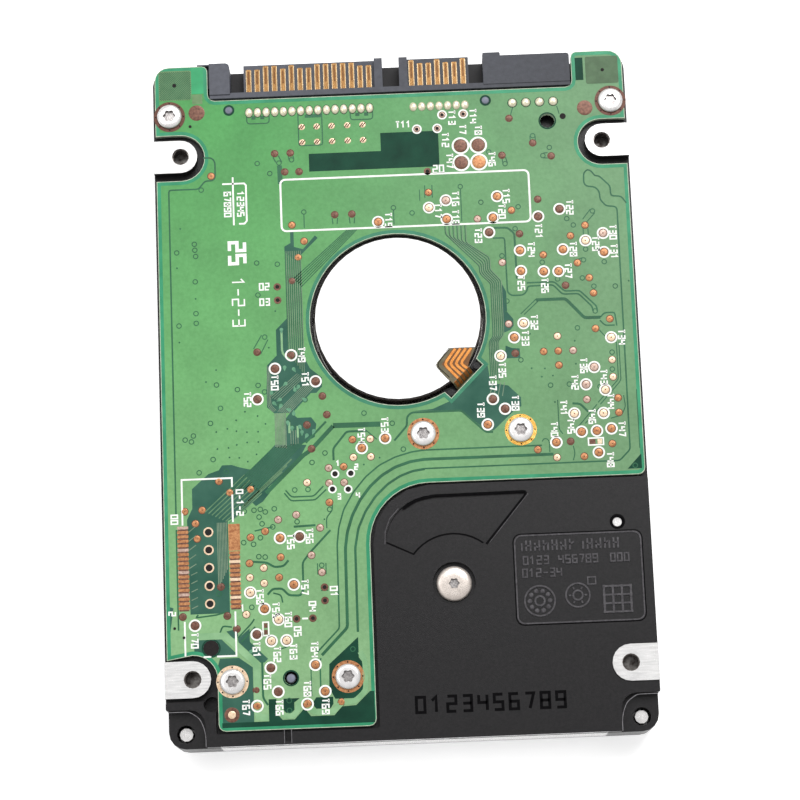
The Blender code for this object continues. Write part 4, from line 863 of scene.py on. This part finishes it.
def teardrop(centre, radius, angle):
    """A via's land with a tapered tail towards the angle."""
    tip = arc(centre, radius * 2.3, angle, angle, 1)[:1]
    return tip + arc(centre, radius, angle + 55, angle + 305, 10)


def rows(text):
    """Each line of a table: the words before its colon and the text after it."""
    for line in text.strip().splitlines():
        head, points = line.split(":")
        yield head.split(), points


def plate(bm, outline, rise, slot=0):
    """A plate on the board."""
    slab(bm, outline, BOARD, BOARD + rise, slot)


def disc(bm, centre, radius, rise, slot=0, steps=12):
    plate(bm, circle(centre, radius, steps), rise, slot)


def collar(bm, centre, inner, outer, rise, slot=0, steps=20):
    annulus(bm, centre, inner, outer, BOARD, BOARD + rise, slot, steps)


def blob(bm, centre, radius, rise, slot=0, steps=14):
    dome(bm, centre, radius, radius, BOARD, BOARD + rise, slot, steps)


def line(bm, points, width, rise, slot=0, closed=False):
    stroke(bm, points, width, BOARD, BOARD + rise, slot, closed)


def inset_band(bm, loop, near, far, rise, slot=0):
    band(bm, offset(loop, near, True), offset(loop, far, True), BOARD, BOARD + rise, slot)


def bundles(bm, slots):
    """The runs of parallel lines in the given tones, spread from a first to a last line."""
    for (count, width, tone), ends in rows(BUNDLES):
        if tone in slots:
            first, last = [pairs(part) for part in ends.split("/")]
            for i in range(int(count)):
                share = i / (int(count) - 1)
                points = [tuple(Vector(a).lerp(Vector(b), share)) for a, b in zip(first, last)]
                line(bm, soften(points), float(width), MASK_LINE * 1.7, slots[tone])


def edge_bands():
    """The band of mask along the board's edges, and the pale routed edge beside it."""
    loops = []
    for loop in top_loops("circuit_board", BOARD):
        span = max(x for x, y in loop) - min(x for x, y in loop)
        if span > 5:                    # the outline and the motor's opening, not the holes
            loops.append((loop, 0 if span > 30 else 1))
    bm = bmesh.new()
    for loop, slot in loops:
        inset_band(bm, loop, 0.1, 0.6, MASK_LINE * 0.8, slot)
    piece("mask_edge_band", bm, "mask_band mask_rim")
    bm = bmesh.new()
    for loop, slot in loops:
        inset_band(bm, loop, 0.005, 0.09, MASK_LINE)
    piece("routed_edge", bm, "glass_edge")


def mask_details():
    """Gaps, bare areas and traces under the mask."""
    edge_bands()
    bm = bmesh.new()
    for slot, (text, rise) in enumerate(((BARE, 0.3), (DARK, 1.0))):
        for place, outline in enumerate(text.strip().splitlines()):
            plate(bm, pairs(outline), MASK_LINE * (rise + 0.02 * place), slot)
    piece("bare_mask_areas", bm, "mask_bare mask_dark")

    bm = bmesh.new()
    for (width,), points in rows(GAPS):
        line(bm, soften(pairs(points)), float(width), MASK_LINE * 1.3)
    for spot in pairs(VIAS):
        collar(bm, spot, 0.27, 0.4, MASK_LINE * 1.6, steps=14)
    for spot in pairs(PINHOLES):
        disc(bm, spot, 0.13, MASK_LINE * 1.6, steps=8)
    bundles(bm, {"g": 0})
    piece("copper_gaps", bm, "mask_gap")

    bm = bmesh.new()
    for (width,), points in rows(TRACES):
        line(bm, soften(pairs(points), 0.6), float(width), MASK_LINE * 2.0)
    for x, y, angle in entries(DROPS):
        plate(bm, teardrop((float(x), float(y)), 0.27, float(angle)), MASK_LINE * 2.2, 1)
    bundles(bm, {"l": 2, "f": 3})
    piece("copper_traces", bm, "mask_trace mask_drop mask_line mask_faint")
    hatched_corners()


def hatched_corners():
    """The two upper corners of the board, the left one with slanting lines."""
    bm = bmesh.new()
    plate(bm, box_outline(-33.9, -29.1, 45.0, 49.55, 0.3), MASK_LINE * 1.2, 0)
    plate(bm, box_outline(29.1, 33.9, 45.0, 49.2, 0.3), MASK_LINE * 1.2, 3)
    wide, tall = 4.6, 4.3
    for i in range(1, 29):
        across, rise = wide * i / 14.5, tall * i / 14.5
        low = (-33.8 + max(across - wide, 0), 45.1 + min(rise, tall))
        high = (-33.8 + min(across, wide), 45.1 + max(rise - tall, 0))
        line(bm, [low, high], 0.12, MASK_LINE * 2, 2)
    plate(bm, box_outline(-29.1, -27.3, 45.9, 49.95, 0.1), MASK_LINE, 1)
    plate(bm, box_outline(-29.0, -27.5, 44.3, 45.8, 0.1), MASK_LINE, 0)
    piece("hatched_corners", bm, "mask_hatch mask_bright mask_gap mask_dull")


TONES = {"b": 0, "o": 1, "c": 2, "p": 3, "k": 4}
# a ringed test point's radii: print from and to, land, centre, dark rim from and to
LARGE_POINT = (0.66, 0.9, 0.58, 0.1, 0.56, 0.64)
SMALL_POINT = (0.5, 0.72, 0.44, 0.26, 0.42, 0.48)
DRILL = 4


def ringed_points(pads, print_marks):
    """Lands with a white ring and a number each."""
    for number, (tone, *place) in enumerate(entries(RINGED), 11):
        x, y, text_x, text_y = (float(word) for word in place)
        small = tone == "k"
        near, far, land, centre, rim, edge = SMALL_POINT if small else LARGE_POINT
        collar(print_marks, (x, y), near, far, SILK, steps=24)
        blob(pads, (x, y), land, PAD, min(TONES[tone], 3))
        disc(pads, (x, y), centre, DOT, DRILL if small else 0)
        collar(pads, (x, y), rim, edge, RIM, 5)
        write(print_marks, f"T{number}", (text_x, text_y), 0 if text_x < 3 and text_y > 39 else -90)
    for x, y, tone in ((10.2, 36.3, 0), (12.8, 36.3, 0), (10.2, 33.72, 0), (12.8, 33.72, 1)):
        collar(print_marks, (x, y), 1.03, 1.3, SILK, steps=28)
        blob(pads, (x, y), 1.0, PAD, tone, 20)
    for text, x, y in (("T7", 10.6, 38.8), ("T8", 12.9, 38.6), ("T47", 8.5, 34.1), ("T46", 14.7, 34.1)):
        write(print_marks, text, (x, y))


def plain_points(pads, print_marks):
    """Lands without a number, and the plated holes."""
    for tone, x, y in entries(PLAIN):
        spot = (float(x), float(y))
        blob(pads, spot, 0.5, PAD, TONES[tone])
        collar(pads, spot, 0.48, 0.57, RIM, 5, 16)
        disc(pads, spot, 0.09, DOT, 0, 8)
    for row in (40.15, 37.8):
        for x in (-13.0, -10.8, -8.6, -6.3, -4.05):
            blob(pads, (x, row), 0.48, 0.04, 2)
            for aside in (-0.18, 0.16):
                line(pads, [(x - 0.24 + aside, row - 0.3), (x + 0.24 + aside, row + 0.3)], 0.17, DOT, 5)
    for spot in pairs("-9.86 -11.8, -7.6 -11.8, -10.3 -14.0, -8.05 -14.1"):
        collar(print_marks, spot, 0.4, 0.62, SILK)
        disc(pads, spot, 0.4, 0.04, DRILL, 14)
    for x, y, radius in ((-28.4, 42.95, 1.2), (28.7, 41.35, 1.15), (-25.5, -45.6, 1.1)):
        blob(pads, (x, y), radius, 0.03, 0, 24)
    blob(pads, (-25.5, -45.6), 0.62, DOT, 2, 20)
    for spot in pairs("5.2 32.6, -17.3 16.1, -17.3 14.1, -13.7 -32.4, -16 -32.4, -11.9 -28.05, -11.9 -29.95"):
        disc(pads, spot, 0.55, 0.03, 0, 16)
        disc(pads, spot, 0.28, PAD, DRILL)
    for x, y, radius in ((-31.6, 47.3, 0.3), (31.6, 47.1, 0.25), (-29.4, 40.9, 0.22), (-33.3, -33.1, 0.2),
                         (-32.0, -34.45, 0.2), (25.4, 40.2, 0.45), (-28.2, -36.1, 1.13)):
        disc(pads, (x, y), radius, PAD, DRILL)
    for i in range(5):
        spot = (-28.2, -19.5 - 2.57 * i)
        collar(pads, spot, 0.5, 0.72, 0.03, 2)
        disc(pads, spot, 0.5, 0.04, DRILL, 16)


def test_points():
    """Bare copper lands and the white print around them."""
    pads, print_marks = bmesh.new(), bmesh.new()
    ringed_points(pads, print_marks)
    plain_points(pads, print_marks)
    for outline, slot in (((26.75, 27.6, -8.95, -8.25), 0), ((27.9, 28.55, -8.95, -8.25), 2),
                          ((-20.65, -20.15, -33.5, -32.85), 0), ((-20.65, -20.15, -34.45, -33.8), 0)):
        plate(pads, box_outline(*outline), 0.03, slot)
    connector_lands(pads)
    piece("copper_pads", pads, "pad_brown pad_orange pad_cream pad_pale drill pad_shade")
    for (width, *closed), points in rows(LINES):
        line(print_marks, pairs(points), float(width), SILK, closed="o" in closed)
    line(print_marks, box_outline(-16.4, 19.95, 24.4, 32.2, 0.7), 0.28, SILK, closed=True)
    for text, x, y, angle, size in entries(NOTES):
        write(print_marks, text, (float(x), float(y)), float(angle), float(size))
    write(print_marks, "25", (-23.0, 21.4), -90, 2.7, 0.5)
    piece("board_print", print_marks, "silk")


def connector_lands(bm):
    """The two rows of lands of the connector under the board."""
    plate(bm, box_outline(-25.35, -23.7, -22.3, -18.45, 0.1), RIM, 1)
    for i in range(19):
        y = -18.75 - 0.64 * i
        sides = [(-32.65, -31.05, 1 if i % 5 else 3)]
        if i > 5:
            sides.append((-25.3, -23.75, 1 if i % 4 else 2))
        for left, right, slot in sides:
            plate(bm, box_outline(left, right, y - 0.2, y + 0.2), 0.03, slot)
            plate(bm, box_outline(left + 0.1, right - 0.1, y - 0.44, y - 0.2), RIM, 0)


def joint(bm, x, y, across, along, rise):
    """A dome of solder just above the board."""
    dome(bm, (x, y), across, along, BOARD + 0.01, BOARD + rise, 0, 16)


def solder_joints():
    """Domed solder of the connector's and the jumper's pins, and the ends of the locating pegs."""
    bm = bmesh.new()
    for i in range(15):
        x = -20.7 + PITCH * i
        plate(bm, [(x + 0.6 * c, 42.65 + 0.8 * d) for c, d in circle((0, 0), 1, 16)], RIM, 1)
        joint(bm, x, 42.65, 0.56, 0.72, 0.32)
    for i in range(7):
        dome(bm, (3.5 + PITCH * i, 42.55), 0.57, 0.7, BOARD, BOARD + 0.32, 0, 16)
    for x in (18.1, 20.1, 22.1, 24.1):
        disc(bm, (x, 42.55), 0.74, RIM, 1, 16)
        joint(bm, x, 42.55, 0.64, 0.66, 0.3)
    piece("solder_joints", bm, "solder mask_dark")
    bm = bmesh.new()
    for spot in ((-23.65, 43.15), (14.15, 43.1)):
        disc(bm, spot, 0.83, RIM, 1, 20)
        dome(bm, spot, 0.55, 0.55, BOARD + 0.01, BOARD + 0.15, 0, 18, flat=0.6)
    dome(bm, (-17.05, -40.75), 0.68, 0.68, 7.9, BOARD + 0.02, 0, 20, flat=0.7)
    for x, y, radius in ((23.1, 39.6, 1.1), (-17.05, -40.75, 0.95), (-28.2, -36.1, 1.15)):
        collar(bm, (x, y), radius, radius + 0.2, RIM, 1, 24)
    piece("locating_pegs", bm, "peg_resin mask_dark")


def lobed(centre, radius, depth):
    """A six-lobed socket outline."""
    points = []
    for i in range(36):
        angle = 2 * math.pi * i / 36
        reach = radius - depth * (0.5 - 0.5 * math.cos(6 * angle))
        points.append((centre[0] + reach * math.cos(angle), centre[1] + reach * math.sin(angle)))
    return points


def screw_head(name, centre, radius, floor, low, top, node, lobe=0.95, look="steel"):
    """A pan head with a six-lobed socket, in place of a CAD screw."""
    bm = bmesh.new()
    height = top - low
    profile = ((radius * 0.93, low), (radius, low + height * 0.2), (radius, low + height * 0.45),
               (radius * 0.93, low + height * 0.8), (radius * 0.8, top - height * 0.03), (lobe * 1.25, top))
    rings = [ring_of(bm, circle(centre, r, 36), z) for r, z in profile]
    rings.append(ring_of(bm, lobed(centre, lobe, lobe * 0.22), top))
    rings.append(ring_of(bm, lobed(centre, lobe * 0.94, lobe * 0.2), top - 0.06))
    bridge(bm, rings, 0)
    bottom = ring_of(bm, lobed(centre, lobe * 0.9, lobe * 0.2), floor)
    bridge(bm, (rings[-1], bottom), 1)
    bm.faces.new(bottom).material_index = 1
    bm.faces.new(rings[0][::-1]).material_index = 0
    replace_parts(piece(name, bm, look + " steel_shade", smooth=40), node)


def screws():
    """Board screws with sockets, and the plated ring with small holes under each."""
    lands = bmesh.new()
    for i, tone in enumerate((5, 5, 1, 3, 4, 1), 1):
        low, high = (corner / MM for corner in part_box(f"board_screw_{i}"))
        centre = ((low.x + high.x) / 2, (low.y + high.y) / 2)
        screw_head(f"socket_screw_{i}", centre, (high.x - low.x) / 2, BOARD + 0.12, BOARD + 0.05, high.z,
                   f"board_screw_{i}", look="screw_face")
        collar(lands, centre, 1.5, 2.25, RIM, tone, 32)
        collar(lands, centre, 2.22, 2.3, 0.03, tone, 32)
        for spot in circle(centre, 2.06, 8):
            disc(lands, spot, 0.12, 0.03, 2, 8)
    screw_head("pivot_socket_screw", PIVOT, 2.5, 8.75, 8.47, 9.15, "pivot_screw", 0.8, "warm_steel")
    piece("screw_lands", lands, "pad_brown pad_orange drill pad_gold pad_cream pad_shade")


def contacts():
    """Separate gold blades, each with pale edges and a rubbed track."""
    bm = bmesh.new()
    tips = {"L": 50.1, "S": 49.6}           # long and short contacts
    for first, lengths in ((-20.65, "SSLLSLSSLLLLLSS"), (3.45, "LSSLSSL")):
        for i, length in enumerate(lengths):
            x, tip = first + PITCH * i, tips[length]
            slab(bm, box_outline(x - 0.4, x + 0.4, 45.7, tip, 0.12, 2), 7.6, 7.73, 0)
            for side in (-0.35, 0.35):
                stroke(bm, [(x + side, 45.8), (x + side, tip - 0.12)], 0.1, 7.7, 7.745, 1)
            slab(bm, box_outline(x - 0.14, x + 0.14, 47.3, tip - 0.25, 0.1, 2), 7.7, 7.74, 2)
    made = piece("contact_blades", bm, "contact contact_edge contact_mark")
    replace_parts(made, "power_contacts", "signal_contacts")


def motor_flex():
    """Copper tracks of the motor's flex, which bend and dip into the gap beside the motor."""
    bm = bmesh.new()
    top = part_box("motor_flex")[1].z / MM
    face = [(7.75, 5.72), (6.05, 3.45), (8.0, 1.35), (9.85, 3.1), (10.6, 5.72)]
    slab(bm, face[::-1], top - 0.02, top + 0.01, 0)
    rim = [(7.25, 5.7), (5.55, 3.7), (5.5, 3.1), (7.1, 1.5)]
    stroke(bm, soften(rim, 0.5), 0.1, top - 0.02, top + 0.015, 3)
    for i in range(FLEX_TRACKS):
        end = flex_spot(12.4, 0.66 - 0.66 * i)
        track = soften([(8.1 + 0.76 * i, 5.7), (6.45 + 0.77 * i, 3.45), end], 0.5)
        stroke(bm, track, 0.36, top - 0.02, top + 0.03, 1)
    tail_tracks(bm, top)
    piece("flex_tracks", bm, "film_gap film_trace film_deep ink")


def flex_spot(far, aside):
    """A place on the flex, from the motor's axis outwards and sideways."""
    return (far - aside) * math.sqrt(0.5), SPINDLE[1] - (far + aside) * math.sqrt(0.5)


def tail_tracks(bm, top):
    """Short tracks down the slope of the flex, from the motor's edge to the gap, in a darker copy of the
    track colour as painted shade.
    """
    for i in range(FLEX_TRACKS + 1):
        left = -1.6 + 0.66 * i
        corners = []
        for far, z in ((12.4, top), (12.5, top), (13.2, top - 1.3)):
            for side in (left, left + 0.44):
                x, y = flex_spot(far, side)
                corners.append([bm.verts.new((x * MM, y * MM, h * MM)) for h in (z, z + 0.04)])
        rings = [[a[0], b[0], b[1], a[1]] for a, b in zip(corners[::2], corners[1::2])]
        bridge(bm, rings, 2)
        bm.faces.new(rings[0][::-1]).material_index = 2
        bm.faces.new(rings[-1]).material_index = 2


def relief(bm, points, width, rise, closed=False):
    """A raised line on the casting."""
    stroke(bm, points, width, CAST_TOP, CAST_TOP + rise, closed=closed)


def casting_relief():
    """Raised frame with plain marks, two dials and a grid, in a lighter copy of the black coat as painted
    highlight.
    """
    bm = bmesh.new()
    relief(bm, box_outline(15.3, 33.2, -34.45, -21.9, 1.0), 0.2, 0.09, True)
    middle, height, pitch = -23.4, 1.5, 0.62
    for left, right in ((16.3, 24.0), (25.0, 31.0)):
        for i in range(int((right - left) / pitch)):
            x = left + i * pitch
            relief(bm, [(x, middle - height / 2), (x, middle + height / (2 if i % 3 else 4))], 0.24, 0.14)
            if i % 2:
                end = (x + pitch, middle + 0.35 * (i % 3 - 1))
                relief(bm, [(x - 0.1, middle), end], 0.2, 0.14)
    texts = (("0123", 18.2, -25.5), ("456789", 24.2, -25.5), ("000", 30.1, -25.5), ("012-34", 19.0, -27.3))
    for text, x, y in texts:
        write(bm, text, (x, y), 0, 1.35, 0.2, 0, CAST_TOP, 0.14)
    relief(bm, box_outline(25.4, 26.5, -29.2, -28.2), 0.18, 0.12, True)
    left_dial, right_dial = (18.5, -31.3), (23.9, -30.7)
    for centre, radius in ((left_dial, 2.25), (right_dial, 1.8)):
        for near, far, steps in ((radius - 0.22, radius, 32), (0.55, 0.8, 16)):
            annulus(bm, centre, near, far, CAST_TOP, CAST_TOP + 0.14, steps=steps)
    for spot in circle(left_dial, 1.45, 10):
        dome(bm, spot, 0.36, 0.36, CAST_TOP, CAST_TOP + 0.17, 0, 8)
    for angle in range(0, 360, 60):
        relief(bm, [arc(right_dial, radius, angle, angle, 1)[0] for radius in (0.95, 1.3)], 0.2, 0.14)
    for i in range(4):
        relief(bm, [(27.6 + 1.27 * i, -29.4), (27.6 + 1.27 * i, -33.4)], 0.3, 0.16)
        relief(bm, [(27.4, -29.6 - 1.22 * i), (31.6, -29.6 - 1.22 * i)], 0.26, 0.14)
    piece("casting_relief", bm, "coat_relief", smooth=20)


def casting_marks():
    """The casting's relief and print, and painted shadow and painted highlight lines along the edges of its
    shallow steps.
    """
    casting_relief()
    bm = bmesh.new()
    write(bm, "0123456789", (10.9, -45.3), 0, 2.6, 0.42, 0, CAST_TOP, 0.012, spread=1.17)
    piece("casting_ink", bm, "ink")
    bm = bmesh.new()
    # painted shadows: dark lines along the steps' upper and right edges, round the frame and round the latch
    # pin's hole; the light lines are painted highlights
    low = CAST_TOP - 0.02
    step = [(-0.4, -17.3), (1.6, -16.1), (4.0, -15.6), (17.2, -15.5), (17.25, -15.9), (11.3, -22.9)]
    stroke(bm, soften(step), 0.34, low, CAST_TOP + 0.012)
    stroke(bm, arc(PIVOT, 7.1, 52, 142, 12) + [(-2.9, -22.1)], 0.24, low, CAST_TOP + 0.012)
    stroke(bm, box_outline(15.08, 33.42, -34.67, -21.68, 1.1), 0.16, low, CAST_TOP + 0.015, closed=True)
    annulus(bm, (30.05, -20.4), 0.72, 1.1, low, CAST_TOP + 0.01)
    stroke(bm, [(-3.1, -22.4), (-3.0, -20.6), (-2.3, -18.7), (-1.0, -17.3)], 0.12, low, CAST_TOP + 0.03, 1)
    stroke(bm, [(11.75, -22.7), (17.55, -15.85)], 0.1, low, CAST_TOP + 0.03, 1)
    # painted highlights along the corner pockets' edges and the groove's sides
    pocket = pairs("-34.3 -44.98, -31.4 -45, -30 -46, -29.4 -47.4, -29.2 -48.6, -29.2 -50")
    for side in (-1, 1):
        edge = [(side * x, y) for x, y in pocket[::side]]
        stroke(bm, soften(edge, 0.5), 0.1, low, CAST_TOP + 0.02, 2)
    for x in (-18.18, -17.18):
        stroke(bm, [(x, -49.9), (x, -47.9)], 0.07, low, CAST_TOP + 0.02, 2)
    piece("casting_shadow_lines", bm, "ink coat_relief coat_shine")


def hole_threads():
    """Thread turns in the four screw holes of the pads, in dark steel as painted shade."""
    bm = bmesh.new()
    for x in (-HOLE_X, HOLE_X):
        for y in HOLE_ROWS:
            for i in range(5):
                high = 9.05 - 0.5 * i
                annulus(bm, (x, y), 1.1, 1.26, high - 0.14, high, steps=24)
    piece("hole_threads", bm, "hole_steel")


def stage_and_lights():
    """Pale floor, white world light and broad soft lamps."""
    bm = bmesh.new()
    slab(bm, box_outline(-900, 900, -900, 900, 20), -4, -0.02)
    bmesh.ops.recalc_face_normals(bm, faces=bm.faces)
    mesh = bpy.data.meshes.new("floor")
    bm.to_mesh(mesh)
    bm.free()
    mesh.materials.append(LOOKS["floor"])
    floor = bpy.data.objects.new("floor", mesh)
    bpy.context.scene.collection.objects.link(floor)
    world = bpy.data.worlds.new("studio")
    bpy.context.scene.world = world
    world.use_nodes = True
    sky = world.node_tree.nodes["Background"].inputs
    sky["Color"].default_value = (1.0, 1.0, 1.0, 1.0)
    sky["Strength"].default_value = WORLD_LIGHT
    for name, place, size, power in LAMPS:
        data = bpy.data.lights.new(name, "AREA")
        data.size = size
        data.energy = power
        lamp = bpy.data.objects.new(name, data)
        lamp.location = place
        lamp.rotation_euler = (-Vector(place)).to_track_quat("-Z", "Y").to_euler()
        bpy.context.scene.collection.objects.link(lamp)


def camera():
    """A long lens above the drive, tilted towards the connector end."""
    data = bpy.data.cameras.new("camera")
    data.lens = CAMERA_LENS
    data.sensor_width = 36.0
    data.clip_start = 0.01
    made = bpy.data.objects.new("camera", data)
    right, up = Vector(CAMERA_RIGHT), Vector(CAMERA_UP)
    turn = Matrix((right, up, right.cross(up))).transposed().to_4x4()
    made.matrix_world = Matrix.Translation(CAMERA_PLACE) @ turn
    bpy.context.scene.collection.objects.link(made)
    bpy.context.scene.camera = made


stage_and_lights()
camera()
mask_details()
test_points()
solder_joints()
screws()
contacts()
motor_flex()
casting_marks()
hole_threads()
bpy.context.scene.view_settings.view_transform = "Standard"
